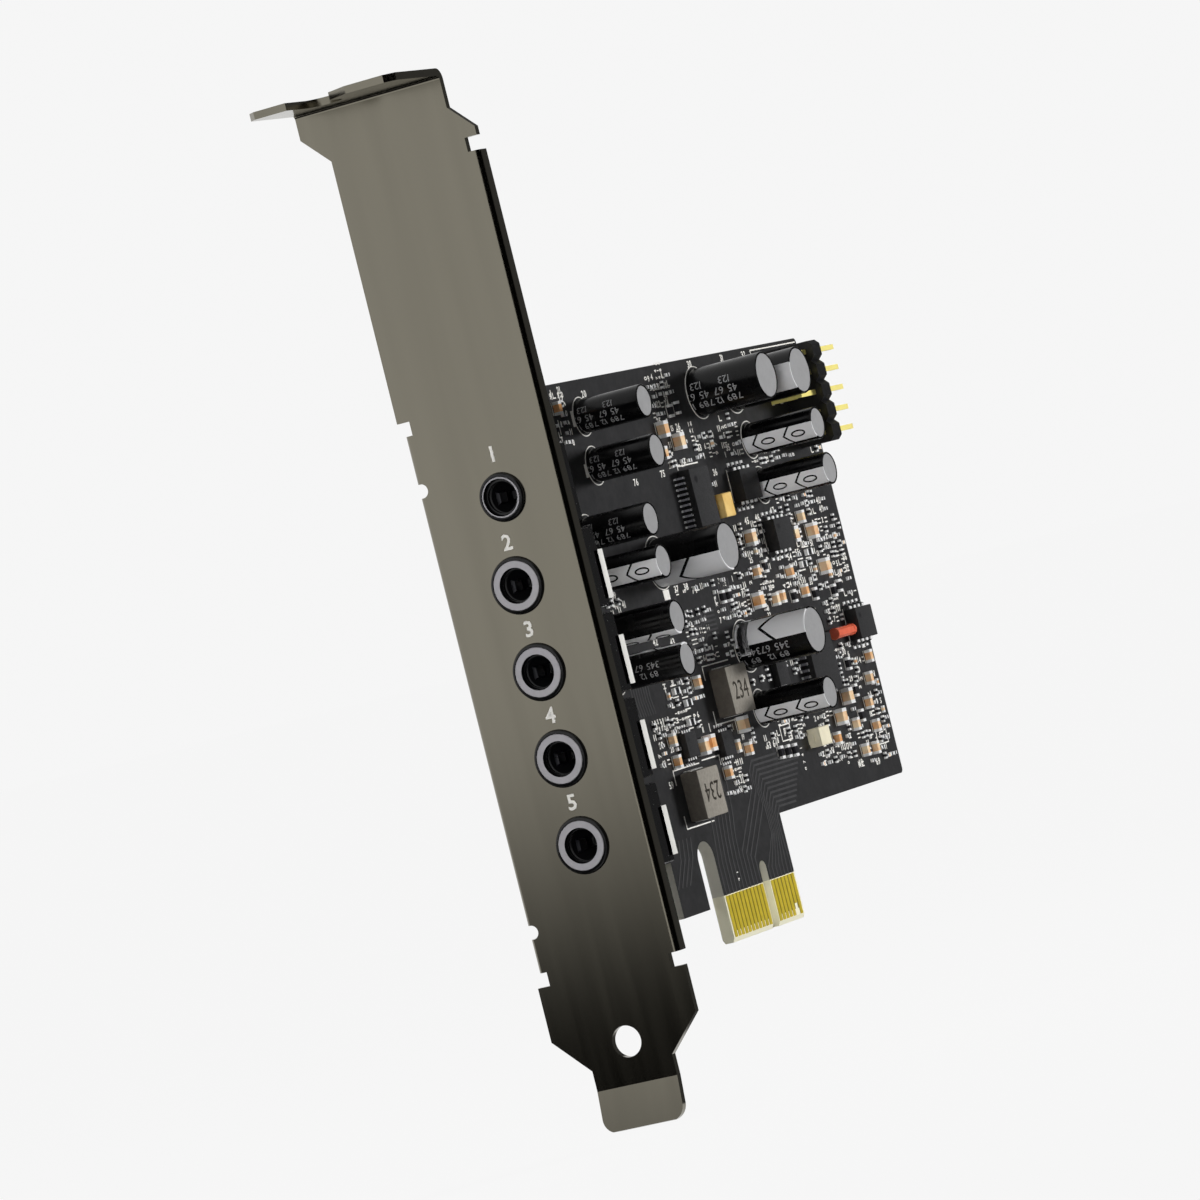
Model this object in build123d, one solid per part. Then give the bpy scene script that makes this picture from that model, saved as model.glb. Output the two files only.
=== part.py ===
from build123d import *
import math
import os

# An internal sound card: a folded steel bracket with five round sockets, and behind
# it an upright circuit board whose lower tongue plugs into a computer's slot.
# While it is built, X runs from the bracket's outer face into the computer, Y runs
# across the bracket towards the board's solder side, and Z runs up from the
# bracket's lower end. The finished pieces are then moved so that the origin is the
# screw's axis on the underside of the bracket's tab. All sizes are in millimetres.

# Bracket
SHEET = 0.86
BRACKET_HEIGHT = 120.02
PLATE_WIDTH = 18.42
TOP_SHIFT = 3.17
TOP_WIDTH = 18.8
TOP_SLOPE_LEFT_DROP = 6.82
TOP_SLOPE_RIGHT_DROP = 7.32
TAB_DEPTH = 11.43
TAB_CORNER = 1.08
TAB_BEND_INSIDE = 0.4
NOTCH_WIDTH = 4.42
NOTCH_Y = 4.99
NOTCH_FROM_FACE = 6.8
NOTCH_FLARE = (2.2, 3.2)
LIP_Y = 8.85
LIP_BEND = 1.0
LIP_DEPTH = 2.24
LIP_RIGHT_LOW_Z = 18.3
LIP_RIGHT_TOP_DROP = 9.92
LIP_LEFT_Z = (19.2, 81.2)
LIP_GAP_HEIGHT = 1.6
LIP_GAP_Y = 7.65
LIP_NOTCH_Z = (23.87, 74.86)
LIP_NOTCH_DEPTH_Y = 7.45
FOOT_SLOPE_Z = 11.35
TONGUE_WIDTH = 10.19
TONGUE_FOLD_Z = 4.87
TONGUE_ANGLE = 8.0
TONGUE_ROUND = 1.7
LOWER_HOLE_RADIUS = 1.8
LOWER_HOLE_Z = 9.71
EAR_LENGTH = 14.5
EAR_JOG = 1.7
EAR_ROUND = 1.6

# Screw that holds the bracket's ear to the board
SCREW_RADIUS = 1.5
SCREW_CLEARANCE = 0.1
SCREW_FROM_EAR_END = 3.2
SCREW_PAST_EAR = 0.8
SCREW_HEAD_RADIUS = 2.6
SCREW_HEAD_HEIGHT = 1.8
SCREW_HEAD_EDGE = 0.6
SCREW_SIDES = 12
CROSS_ARM_SHARE = 0.55
CROSS_HALF_SHARE = 0.16
CROSS_DEPTH_SHARE = 0.55

# Circuit board
BOARD_FRONT_Y = 5.6
BOARD_THICKNESS = 1.57
BOARD_NEAR_X = 2.0
BOARD_FAR_X = 103.4
BOARD_TOP_Z = 83.8
BOARD_LOW_Z = 28.1
BOARD_NEAR_LOW_Z = 26.6
HEEL_X = (33.2, 40.55)
HEEL_LOW_Z = 19.9
RELIEF_TOP_Z = 27.8
TONGUE_LOW_Z = 15.3
KEY_X = 57.15
KEY_WIDTH = 1.9
KEY_TOP_Z = 23.4
EDGE_BEVEL = (0.25, 0.5)
BOARD_CORNER = 0.6

# Edge contacts, counted from the bracket: eleven, the key, then seven
CONTACT_PITCH = 1.0
CONTACT_WIDTH = 0.7
CONTACT_THICKNESS = 0.05
CONTACT_LOW_Z = 15.85
CONTACT_TOP_Z = 20.8
CONTACT_SHORT = 1.4
CONTACTS_BEFORE_KEY = 11
CONTACTS_AFTER_KEY = 7
KEY_STEP = 3.0
TONGUE_SIDE = 0.72

# Sockets, from the top one down
SOCKET_COUNT = 5
SOCKET_PITCH = 9.96
SOCKET_FIRST_Z = 72.0
SOCKET_Y = -0.6
TOP_SOCKET_Y = -1.45
SOCKET_BORE_RADIUS = 1.8
TIP_POCKET_RADIUS = 1.45
TIP_POCKET_DEPTH = 1.5
BORE_MOUTH_RADIUS = 1.95
NOSE_RADIUS = 3.23
NOSE_REACH = 0.45
RING_RADIUS = 2.8
RING_THICKNESS = 0.5
RING_SIDES = 18
TOP_NOSE_RADIUS = 2.74
TOP_NOSE_REACH = 0.6
TOP_RING_RADIUS = 2.3
TOP_RING_WALL = 0.25
NOSE_CLEARANCE = 0.07
HOUSING_WIDTH = 9.2
HOUSING_TOP = 3.9
HOUSING_LENGTH = 12.8
TOP_HOUSING_LENGTH = 10.4
HOUSING_CHAMFER = 0.4
GROOVE_X = (2.2, 9.0)
GROOVE_DEPTH = 0.45
GROOVE_HALF = 1.4
WINDOW_X = (3.2, 8.4)
WINDOW_HALF = 1.9
WINDOW_DEPTH = 0.9
SHELF_LENGTH = 1.0
CARRIER_LENGTH = 2.3
CARRIER_CHAMFER = 0.35
CARRIER_Z = (-3.9, 1.8)
SOCKET_TAILS = [(3.4, -1), (5.6, 1), (8.0, -1), (9.4, 1)]
SOCKET_TAIL_SIDE = 2.9
TAIL_SIZE = (0.9, 0.3)
TAIL_REACH = 1.2

# Round capacitors: (x, z, type)
CAN_SIDES = 12
LEAD_SIDES = 5
SLEEVE_WALL = 0.12
CAN_RECESS = 0.15
LEAD_RADIUS = 0.25
LEAD_HOLE_RADIUS = 0.4
HOLE_CLEARANCE = 0.12
CAPACITOR_TYPES = {
    "short": {"radius": 2.0, "height": 8.3, "lead_gap": 1.5},
    "slim": {"radius": 2.0, "height": 9.4, "lead_gap": 1.5},
    "wide": {"radius": 2.9, "height": 9.4, "lead_gap": 2.5},
}
CAPACITORS = [
    (39.2, 79.4, "short"),
    (39.3, 73.5, "short"),
    (33.2, 65.9, "short"),
    (31.4, 60.8, "slim"),
    (49.5, 60.7, "wide"),
    (31.4, 54.2, "slim"),
    (31.4, 49.2, "slim"),
    (71.8, 79.5, "wide"),
    (81.7, 79.3, "wide"),
    (83.0, 72.6, "slim"),
    (83.2, 66.9, "slim"),
    (67.5, 48.5, "wide"),
    (67.5, 40.8, "slim"),
]

# Coils: (x, z) of the centre
COIL_SIZE = (6.1, 6.1, 2.4)
COIL_CHAMFER = 0.35
COIL_GROOVE = 0.25
COIL_TERMINAL = 3.2
COIL_TERMINAL_RISE = 1.2
COILS = [(58.2, 43.9), (43.9, 33.2)]

# Pin header at the board's far end
PIN_PITCH = 2.54
HEADER_COLUMNS = 5
HEADER_TOP_PIN_Z = 81.6
HEADER_X = 96.3
HEADER_CHAMFER = 0.55
PIN_SIDE = 0.64
PIN_REACH = 6.0
PIN_TAIL_GAP = 1.5

# Chips: body along X and Z, its height, lead pitch, leads on one side and their reach
CHIP_STANDOFF = 0.1
CHIP_CHAMFER = 0.12
LEAD_WIDTH_SHARE = 0.42
LEAD_SHEET = 0.15
LEAD_ROOT = 0.2
LEAD_KNEE_SHARE = 0.4
CHIPS = {
    "converter_chip": {
        "size_x": 5.4, "size_z": 10.2, "height": 1.6, "pitch": 0.65, "leads": 14,
        "reach": 1.15, "sides": "x", "places": [(63.0, 65.6)],
    },
    "controller_chip": {
        "size_x": 7.0, "size_z": 7.0, "height": 1.4, "pitch": 0.8, "leads": 8,
        "reach": 1.0, "sides": "xz", "places": [(85.4, 44.0)],
    },
    "amplifier_chips": {
        "size_x": 4.9, "size_z": 3.9, "height": 1.5, "pitch": 1.27, "leads": 4,
        "reach": 1.05, "sides": "z", "places": [(76.9, 67.4), (83.0, 60.6), (100.1, 47.5)],
    },
    "regulator_chips": {
        "size_x": 3.0, "size_z": 3.0, "height": 0.9, "pitch": 0.65, "leads": 4,
        "reach": 0.95, "sides": "z", "places": [(44.6, 39.1), (54.4, 38.0), (74.0, 44.2)],
    },
}

# Small surface parts: (length, width, height), then (x, z, True if it lies along X)
SMALL_SIZES = {
    "ceramic_capacitors": (2.0, 1.25, 1.1),
    "small_ceramic_capacitors": (1.6, 0.8, 0.8),
    "resistors": (1.6, 0.8, 0.45),
}
SMALL_PLACES = {
    "ceramic_capacitors": [
        (75.3, 61.0, False), (87.6, 60.1, False), (93.3, 60.0, False), (94.4, 55.4, False),
        (73.1, 53.4, False), (58.6, 76.0, False), (62.2, 74.2, False), (48.3, 38.4, False),
        (50.3, 38.6, False), (60.4, 39.6, False), (91.6, 39.2, False), (88.3, 37.0, False),
    ],
    "small_ceramic_capacitors": [
        (32.6, 80.9, False), (57.6, 73.2, False), (51.2, 45.9, False), (40.9, 40.2, False),
        (40.9, 37.6, False), (60.6, 36.6, False), (57.5, 37.3, False), (53.6, 34.6, False),
        (87.2, 53.1, False), (78.3, 53.0, False), (80.2, 53.1, False), (84.2, 55.8, False),
        (74.9, 56.8, False), (91.3, 62.0, False), (86.0, 34.6, False), (92.4, 35.6, False),
        (99.5, 40.6, False), (97.6, 37.7, False), (98.2, 34.7, False), (93.3, 32.2, False),
        (96.4, 32.1, False), (101.0, 43.2, False),
    ],
    "resistors": [
        (62.6, 78.0, False), (64.6, 78.2, False), (66.0, 54.9, False), (64.2, 54.9, False),
        (78.0, 57.2, False), (88.9, 56.3, True), (91.3, 57.6, True), (84.1, 52.8, False),
        (90.3, 52.4, False), (96.0, 52.2, False), (97.8, 52.6, False), (76.2, 49.8, False),
        (45.3, 45.6, True), (47.7, 43.9, True), (47.2, 41.6, True), (69.6, 35.0, False),
        (71.6, 34.9, False), (73.6, 34.8, False), (90.7, 46.5, False), (94.8, 43.0, False),
        (94.9, 39.6, False), (95.0, 36.4, False),
    ],
}

# Single parts: (x, z, size along X, size along Z, height)
BLOCK_CHAMFER = 0.1
BLOCK_TERMINAL = 0.15
BLOCK_TERMINAL_HALF_SHARE = 0.3
BLOCK_TERMINAL_RISE_SHARE = 0.5
TANTALUM = (68.6, 65.5, 2.8, 2.9, 1.9)
CRYSTAL = (80.1, 35.5, 3.2, 2.3, 1.6)
DIODE_X = (91.6, 97.0)
DIODE_Z = 47.0
DIODE_RADIUS = 0.75
DIODE_CAP = 0.5
DIODE_STEP = 0.04
DIODE_SIDES = 12


def at(x, y, z):
    return Location((x, y, z))


def box(x0, x1, y0, y1, z0, z1):
    solid = Box(x1 - x0, y1 - y0, z1 - z0)
    return at((x0 + x1) / 2, (y0 + y1) / 2, (z0 + z1) / 2) * solid


def rod_x(x0, x1, y, z, radius):
    solid = Cylinder(radius, x1 - x0)
    return at((x0 + x1) / 2, y, z) * Rot(0, 90, 0) * solid


def rod_y(x, y0, y1, z, radius):
    solid = Cylinder(radius, y1 - y0)
    return at(x, (y0 + y1) / 2, z) * Rot(90, 0, 0) * solid


def flats_x(x0, x1, y, z, radius, sides):
    """A small round part, drawn with flats: a prism along X about a circle's centre."""
    face = Plane.YZ.offset(x0) * (Pos(y, z) * RegularPolygon(radius, sides))
    return extrude(face, amount=x1 - x0, dir=(1, 0, 0))


def flats_y(x, y0, y1, z, radius, sides):
    """A small round part, drawn with flats: a prism along Y about a circle's centre."""
    face = Plane.XZ.offset(-y0) * (Pos(x, z) * RegularPolygon(radius, sides))
    return extrude(face, amount=y1 - y0, dir=(0, 1, 0))


def prism_x(points, x0, x1):
    face = make_face(Plane.YZ.offset(x0) * Polyline(*points, close=True))
    return extrude(face, amount=x1 - x0, dir=(1, 0, 0))


def prism_y(points, y0, y1):
    face = make_face(Plane.XZ.offset(-y0) * Polyline(*points, close=True))
    return extrude(face, amount=y1 - y0, dir=(0, 1, 0))


def prism_z(points, z0, z1):
    face = make_face(Plane.XY.offset(z0) * Polyline(*points, close=True))
    return extrude(face, amount=z1 - z0, dir=(0, 0, 1))


# Sizes that several pieces share
BOARD_BACK_Y = BOARD_FRONT_Y + BOARD_THICKNESS
PLATE_HALF = PLATE_WIDTH / 2
TOP_LEFT_Y = PLATE_HALF + TOP_SHIFT
TOP_RIGHT_Y = TOP_LEFT_Y - TOP_WIDTH
TAB_UNDER_Z = BRACKET_HEIGHT - SHEET
TOP_SLOPE_LEFT_Z = BRACKET_HEIGHT - TOP_SLOPE_LEFT_DROP
TOP_SLOPE_RIGHT_Z = BRACKET_HEIGHT - TOP_SLOPE_RIGHT_DROP
LIP_RIGHT_Z = (LIP_RIGHT_LOW_Z, BRACKET_HEIGHT - LIP_RIGHT_TOP_DROP)
BEND_Y = LIP_Y - LIP_BEND
FIRST_CONTACT_X = KEY_X - KEY_STEP / 2 - (CONTACTS_BEFORE_KEY - 1) * CONTACT_PITCH
LAST_CONTACT_X = KEY_X + KEY_STEP / 2 + (CONTACTS_AFTER_KEY - 1) * CONTACT_PITCH
TONGUE_X = (FIRST_CONTACT_X - TONGUE_SIDE, LAST_CONTACT_X + TONGUE_SIDE)
EAR_Z = (LIP_NOTCH_Z[1] + LIP_GAP_HEIGHT / 2, LIP_LEFT_Z[1])
SCREW_X = LIP_DEPTH + EAR_LENGTH - SCREW_FROM_EAR_END
SCREW_Z = (EAR_Z[0] + EAR_Z[1]) / 2
SOCKETS = [
    (TOP_SOCKET_Y if i == 0 else SOCKET_Y, SOCKET_FIRST_Z - i * SOCKET_PITCH)
    for i in range(SOCKET_COUNT)
]


# Bracket
def plate_side(lip_z):
    """One long edge of the plate, from top to bottom, as distances from its middle."""
    low, high = lip_z
    tongue_half = TONGUE_WIDTH / 2
    return [
        (PLATE_HALF, high + LIP_GAP_HEIGHT),
        (LIP_GAP_Y, high + LIP_GAP_HEIGHT),
        (LIP_GAP_Y, high),
        (BEND_Y, high),
        (BEND_Y, low),
        (LIP_GAP_Y, low),
        (LIP_GAP_Y, low - LIP_GAP_HEIGHT),
        (PLATE_HALF, low - LIP_GAP_HEIGHT),
        (PLATE_HALF, FOOT_SLOPE_Z),
        (tongue_half, FOOT_SLOPE_Z - PLATE_HALF + tongue_half),
        (tongue_half, TONGUE_FOLD_Z),
    ]


def plate():
    """The flat of the bracket, with its stepped top and sloped foot."""
    top_z = TAB_UNDER_Z - TAB_BEND_INSIDE
    right = [
        (TOP_RIGHT_Y, top_z),
        (TOP_RIGHT_Y, TOP_SLOPE_RIGHT_Z + PLATE_HALF + TOP_RIGHT_Y),
        (-PLATE_HALF, TOP_SLOPE_RIGHT_Z),
    ]
    left = [
        (PLATE_HALF, TOP_SLOPE_LEFT_Z),
        (TOP_LEFT_Y, TOP_SLOPE_LEFT_Z + TOP_SHIFT),
        (TOP_LEFT_Y, top_z),
    ]
    down = [(-y, z) for y, z in plate_side(LIP_RIGHT_Z)]
    up = list(reversed(plate_side(LIP_LEFT_Z)))
    return prism_x(right + down + up + left, 0, SHEET)


def lip(side, z0, z1):
    """A long edge folded back into the computer; side is 1 or -1 along Y."""
    bend = Circle(LIP_BEND) - Circle(LIP_BEND - SHEET)
    quarter = Pos(-LIP_BEND / 2, side * LIP_BEND / 2) * Rectangle(LIP_BEND, LIP_BEND)
    corner = Pos(LIP_BEND, side * BEND_Y) * (bend & quarter)
    flat_x = (LIP_BEND + LIP_DEPTH) / 2
    flat = Pos(flat_x, side * (LIP_Y - SHEET / 2)) * Rectangle(LIP_DEPTH - LIP_BEND, SHEET)
    return extrude(Pos(0, 0, z0) * (corner + flat), amount=z1 - z0)


def lip_notch(z):
    """The round-ended relief cut through the left lip."""
    radius = LIP_GAP_HEIGHT / 2
    y = LIP_NOTCH_DEPTH_Y + radius
    end = rod_x(-SHEET, LIP_DEPTH + SHEET, y, z, radius)
    return end + box(-SHEET, LIP_DEPTH + SHEET, y, LIP_Y + SHEET, z - radius, z + radius)


def ear():
    """The upper end of the left lip, stepped in to lie on the board's solder side."""
    step_x = LIP_DEPTH + EAR_JOG
    end_x = LIP_DEPTH + EAR_LENGTH
    outline = [
        (LIP_DEPTH, LIP_Y),
        (step_x, BOARD_BACK_Y + SHEET),
        (end_x, BOARD_BACK_Y + SHEET),
        (end_x, BOARD_BACK_Y),
        (step_x, BOARD_BACK_Y),
        (LIP_DEPTH, LIP_Y - SHEET),
    ]
    solid = prism_z(outline, *EAR_Z)
    corners = solid.edges().filter_by(Axis.Y).group_by(Axis.X)[-1]
    solid = fillet(corners, EAR_ROUND)
    hole = flats_y(SCREW_X, BOARD_BACK_Y - 1, LIP_Y + 1, SCREW_Z, SCREW_RADIUS, SCREW_SIDES)
    return solid - hole


def tab():
    """The screw tab, folded outward from the top of the plate, with its open notch."""
    bend_z = TAB_UNDER_Z - TAB_BEND_INSIDE
    outside = TAB_BEND_INSIDE + SHEET
    ring = Circle(outside) - Circle(TAB_BEND_INSIDE)
    quarter = Pos(outside / 2, outside / 2) * Rectangle(outside, outside)
    section = Plane.XZ.offset(-TOP_RIGHT_Y) * (Pos(-TAB_BEND_INSIDE, bend_z) * (ring & quarter))
    bend = extrude(section, amount=TOP_WIDTH, dir=(0, 1, 0))
    flat = box(-TAB_DEPTH, -TAB_BEND_INSIDE, TOP_RIGHT_Y, TOP_LEFT_Y, TAB_UNDER_Z, BRACKET_HEIGHT)
    flat = chamfer(flat.edges().filter_by(Axis.Z).group_by(Axis.X)[0], TAB_CORNER)
    radius = NOTCH_WIDTH / 2
    low, high = TAB_UNDER_Z - 1, BRACKET_HEIGHT + 1
    right_wall = NOTCH_Y - radius
    flare_x, flare_y = NOTCH_FLARE
    mouth_x = -TAB_DEPTH - 1
    end = at(-NOTCH_FROM_FACE, NOTCH_Y, (low + high) / 2) * Cylinder(radius, high - low)
    notch = end + box(mouth_x, -NOTCH_FROM_FACE, right_wall, NOTCH_Y + radius, low, high)
    slant = [(-TAB_DEPTH + flare_x, right_wall), (-TAB_DEPTH, right_wall - flare_y)]
    flare = prism_z(slant + [(mouth_x, right_wall - flare_y), (mouth_x, right_wall)], low, high)
    return bend + flat - notch - flare


def tongue():
    """The narrow lower end, bent outward a little, that drops into the case."""
    angle = math.radians(TONGUE_ANGLE)
    length = (TONGUE_FOLD_Z - SHEET * math.sin(angle)) / math.cos(angle)
    end_x = -length * math.sin(angle)
    end_z = TONGUE_FOLD_Z - length * math.cos(angle)
    section = [
        (0, TONGUE_FOLD_Z),
        (end_x, end_z),
        (end_x + SHEET * math.cos(angle), end_z - SHEET * math.sin(angle)),
        (SHEET, TONGUE_FOLD_Z - SHEET * math.tan(angle / 2)),
        (SHEET, TONGUE_FOLD_Z),
    ]
    half = TONGUE_WIDTH / 2
    bent = prism_y(section, -half, half)
    outline = box(end_x - 1, SHEET + 1, -half, half, 0, TONGUE_FOLD_Z + 1)
    low_corners = outline.edges().filter_by(Axis.X).group_by(Axis.Z)[0]
    return bent & fillet(low_corners, TONGUE_ROUND)


def bracket():
    body = plate() + tab() + tongue()
    body += lip(-1, *LIP_RIGHT_Z)
    body += lip(1, *LIP_LEFT_Z)
    for z in LIP_NOTCH_Z:
        body -= lip_notch(z)
    body += ear()
    body -= rod_x(-1, SHEET + 1, 0, LOWER_HOLE_Z, LOWER_HOLE_RADIUS)
    for i, (y, z) in enumerate(SOCKETS):
        nose = TOP_NOSE_RADIUS if i == 0 else NOSE_RADIUS
        body -= rod_x(-1, SHEET + 1, y, z, nose + NOSE_CLEARANCE)
    return body


def bracket_screw():
    """A pan-head screw from the component side through the board into the ear."""
    end_y = BOARD_BACK_Y + SHEET + SCREW_PAST_EAR
    shank = flats_y(SCREW_X, BOARD_FRONT_Y, end_y, SCREW_Z, SCREW_RADIUS, SCREW_SIDES)
    top_y = BOARD_FRONT_Y - SCREW_HEAD_HEIGHT
    head = flats_y(SCREW_X, top_y, BOARD_FRONT_Y, SCREW_Z, SCREW_HEAD_RADIUS, SCREW_SIDES)
    head = chamfer(head.faces().sort_by(Axis.Y)[0].edges(), SCREW_HEAD_EDGE)
    arm = SCREW_HEAD_RADIUS * CROSS_ARM_SHARE
    slot = SCREW_HEAD_RADIUS * CROSS_HALF_SHARE
    floor_y = top_y + SCREW_HEAD_HEIGHT * CROSS_DEPTH_SHARE
    cross = box(SCREW_X - arm, SCREW_X + arm, top_y - 1, floor_y, SCREW_Z - slot, SCREW_Z + slot)
    cross += box(SCREW_X - slot, SCREW_X + slot, top_y - 1, floor_y, SCREW_Z - arm, SCREW_Z + arm)
    return head + shank - cross


# Circuit board
def board_holes():
    """The holes for every lead, pin and tail that goes through the board."""
    y0, y1 = BOARD_FRONT_Y - 1, BOARD_BACK_Y + 1
    holes = []
    for x, z, kind in CAPACITORS:
        for side in (-1, 1):
            lead_z = z + side * CAPACITOR_TYPES[kind]["lead_gap"] / 2
            holes.append(flats_y(x, y0, y1, lead_z, LEAD_HOLE_RADIUS, LEAD_SIDES))
    pin = PIN_SIDE / 2 + HOLE_CLEARANCE
    for x, z in header_tails():
        holes.append(box(x - pin, x + pin, y0, y1, z - pin, z + pin))
    long_half = TAIL_SIZE[0] / 2 + HOLE_CLEARANCE
    thin_half = TAIL_SIZE[1] / 2 + HOLE_CLEARANCE
    for x, z in socket_tails():
        holes.append(box(x - long_half, x + long_half, y0, y1, z - thin_half, z + thin_half))
    screw_hole = SCREW_RADIUS + SCREW_CLEARANCE
    holes.append(flats_y(SCREW_X, y0, y1, SCREW_Z, screw_hole, SCREW_SIDES))
    return holes


def board_outline():
    """The board seen from the component side, without its slots."""
    return [
        (BOARD_NEAR_X, BOARD_TOP_Z),
        (BOARD_FAR_X, BOARD_TOP_Z),
        (BOARD_FAR_X, BOARD_LOW_Z),
        (TONGUE_X[1], BOARD_LOW_Z),
        (TONGUE_X[1], TONGUE_LOW_Z),
        (TONGUE_X[0], TONGUE_LOW_Z),
        (TONGUE_X[0], HEEL_LOW_Z),
        (HEEL_X[0], HEEL_LOW_Z),
        (HEEL_X[0], BOARD_NEAR_LOW_Z),
        (BOARD_NEAR_X, BOARD_NEAR_LOW_Z),
    ]


def down_slot(x0, x1, top_z):
    """A round-topped slot, open at the bottom, through the board."""
    radius = (x1 - x0) / 2
    y0, y1 = BOARD_FRONT_Y - 1, BOARD_BACK_Y + 1
    top = rod_y((x0 + x1) / 2, y0, y1, top_z - radius, radius)
    return top + box(x0, x1, y0, y1, TONGUE_LOW_Z - 1, top_z - radius)


def circuit_board():
    board = prism_y(board_outline(), BOARD_FRONT_Y, BOARD_BACK_Y)
    outer = board.edges().filter_by(Axis.Y)
    far = outer.group_by(Axis.X)[-1]
    board = fillet(far, BOARD_CORNER)
    board -= down_slot(HEEL_X[1], TONGUE_X[0], RELIEF_TOP_Z)
    board -= down_slot(KEY_X - KEY_WIDTH / 2, KEY_X + KEY_WIDTH / 2, KEY_TOP_Z)
    in_y, up_z = EDGE_BEVEL
    for y, inward in ((BOARD_FRONT_Y, in_y), (BOARD_BACK_Y, -in_y)):
        wedge = [(y, TONGUE_LOW_Z), (y + inward, TONGUE_LOW_Z), (y, TONGUE_LOW_Z + up_z)]
        board -= prism_x(wedge, TONGUE_X[0], TONGUE_X[1])
    for hole in board_holes():
        board -= hole
    return board


def edge_contacts(y0, y1, short_index):
    """The gold strips on one face of the tongue, one of them short."""
    strips = []
    for i in range(CONTACTS_BEFORE_KEY + CONTACTS_AFTER_KEY):
        x = FIRST_CONTACT_X + i * CONTACT_PITCH
        if i >= CONTACTS_BEFORE_KEY:
            x += KEY_STEP - CONTACT_PITCH
        low = CONTACT_LOW_Z + (CONTACT_SHORT if i == short_index else 0)
        half = CONTACT_WIDTH / 2
        strips.append(box(x - half, x + half, y0, y1, low, CONTACT_TOP_Z))
    return Compound(children=strips)


# Sockets
def socket_tails():
    """Where the sockets' solder tails stand in the board: (x, z)."""
    places = []
    for y, z in SOCKETS:
        for x, side in SOCKET_TAILS:
            places.append((x, z + side * SOCKET_TAIL_SIDE))
    return places


def socket_housing(index):
    """A moulded socket body with its nose through the bracket and its bore."""
    y, z = SOCKETS[index]
    first = index == 0
    radius = TOP_NOSE_RADIUS if first else NOSE_RADIUS
    reach = TOP_NOSE_REACH if first else NOSE_REACH
    length = TOP_HOUSING_LENGTH if first else HOUSING_LENGTH
    half = HOUSING_WIDTH / 2
    top_y = y - HOUSING_TOP
    body = box(SHEET, length, top_y, BOARD_FRONT_Y, z - half, z + half)
    body = chamfer(body.edges().filter_by(Axis.X).group_by(Axis.Y)[0], HOUSING_CHAMFER)
    for side in (-1, 1):
        wall = z + side * half
        groove = (wall - GROOVE_DEPTH, wall + GROOVE_DEPTH)
        body -= box(GROOVE_X[0], length + 1, y - GROOVE_HALF, y + GROOVE_HALF, *groove)
    window = (z - WINDOW_HALF, z + WINDOW_HALF)
    body -= box(WINDOW_X[0], WINDOW_X[1], top_y - 1, top_y + WINDOW_DEPTH, *window)
    if not first:
        low = z - half
        body += box(length, length + SHELF_LENGTH, top_y, BOARD_FRONT_Y, low, z + CARRIER_Z[0])
    body += rod_x(-reach, SHEET, y, z, radius)
    body -= rod_x(-reach - 1, length + 1, y, z, SOCKET_BORE_RADIUS)
    ring = TOP_RING_RADIUS if first else RING_RADIUS
    return body - flats_x(-reach - 1, -reach + RING_THICKNESS, y, z, ring, RING_SIDES)


def socket_ring(index):
    """The ring set flush in the socket's nose."""
    y, z = SOCKETS[index]
    first = index == 0
    reach = TOP_NOSE_REACH if first else NOSE_REACH
    outer = TOP_RING_RADIUS if first else RING_RADIUS
    inner = TOP_RING_RADIUS - TOP_RING_WALL if first else BORE_MOUTH_RADIUS
    ring = flats_x(-reach, -reach + RING_THICKNESS, y, z, outer, RING_SIDES)
    return ring - flats_x(-reach - 1, SHEET, y, z, inner, RING_SIDES)


def socket_carrier(index):
    """The pale block behind a socket, with a pocket for the tip of the plug."""
    y, z = SOCKETS[index]
    x1 = HOUSING_LENGTH + CARRIER_LENGTH
    top_y = y - HOUSING_TOP
    body = box(HOUSING_LENGTH, x1, top_y, BOARD_FRONT_Y, z + CARRIER_Z[0], z + CARRIER_Z[1])
    upper = body.edges().filter_by(Axis.Z).group_by(Axis.X)[-1].sort_by(Axis.Y)[0]
    body = chamfer(upper, CARRIER_CHAMFER)
    pocket_x = HOUSING_LENGTH + TIP_POCKET_DEPTH
    return body - rod_x(HOUSING_LENGTH - 1, pocket_x, y, z, TIP_POCKET_RADIUS)


def socket_terminals():
    """The tinned solder tails of all five sockets."""
    long_half, thin_half = TAIL_SIZE[0] / 2, TAIL_SIZE[1] / 2
    end_y = BOARD_BACK_Y + TAIL_REACH
    tails = []
    for x, z in socket_tails():
        blade = (x - long_half, x + long_half, BOARD_FRONT_Y, end_y, z - thin_half, z + thin_half)
        tails.append(box(*blade))
    return Compound(children=tails)


# Round capacitors
def capacitor_can(x, z, kind):
    """The aluminium can on its two leads."""
    spec = CAPACITOR_TYPES[kind]
    top_y = BOARD_FRONT_Y - spec["height"] + CAN_RECESS
    inner = spec["radius"] - SLEEVE_WALL
    can = flats_y(x, top_y, BOARD_FRONT_Y, z, inner, CAN_SIDES)
    end_y = BOARD_BACK_Y + TAIL_REACH
    for side in (-1, 1):
        lead_z = z + side * spec["lead_gap"] / 2
        can += flats_y(x, BOARD_FRONT_Y, end_y, lead_z, LEAD_RADIUS, LEAD_SIDES)
    return can


def capacitor_sleeve(x, z, kind):
    """The plastic sleeve, shrunk over the can and standing a little past its top."""
    spec = CAPACITOR_TYPES[kind]
    radius = spec["radius"]
    top_y = BOARD_FRONT_Y - spec["height"]
    inner = radius - SLEEVE_WALL
    sleeve = flats_y(x, top_y, BOARD_FRONT_Y, z, radius, CAN_SIDES)
    return sleeve - flats_y(x, top_y - 1, BOARD_FRONT_Y + 1, z, inner, CAN_SIDES)


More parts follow.
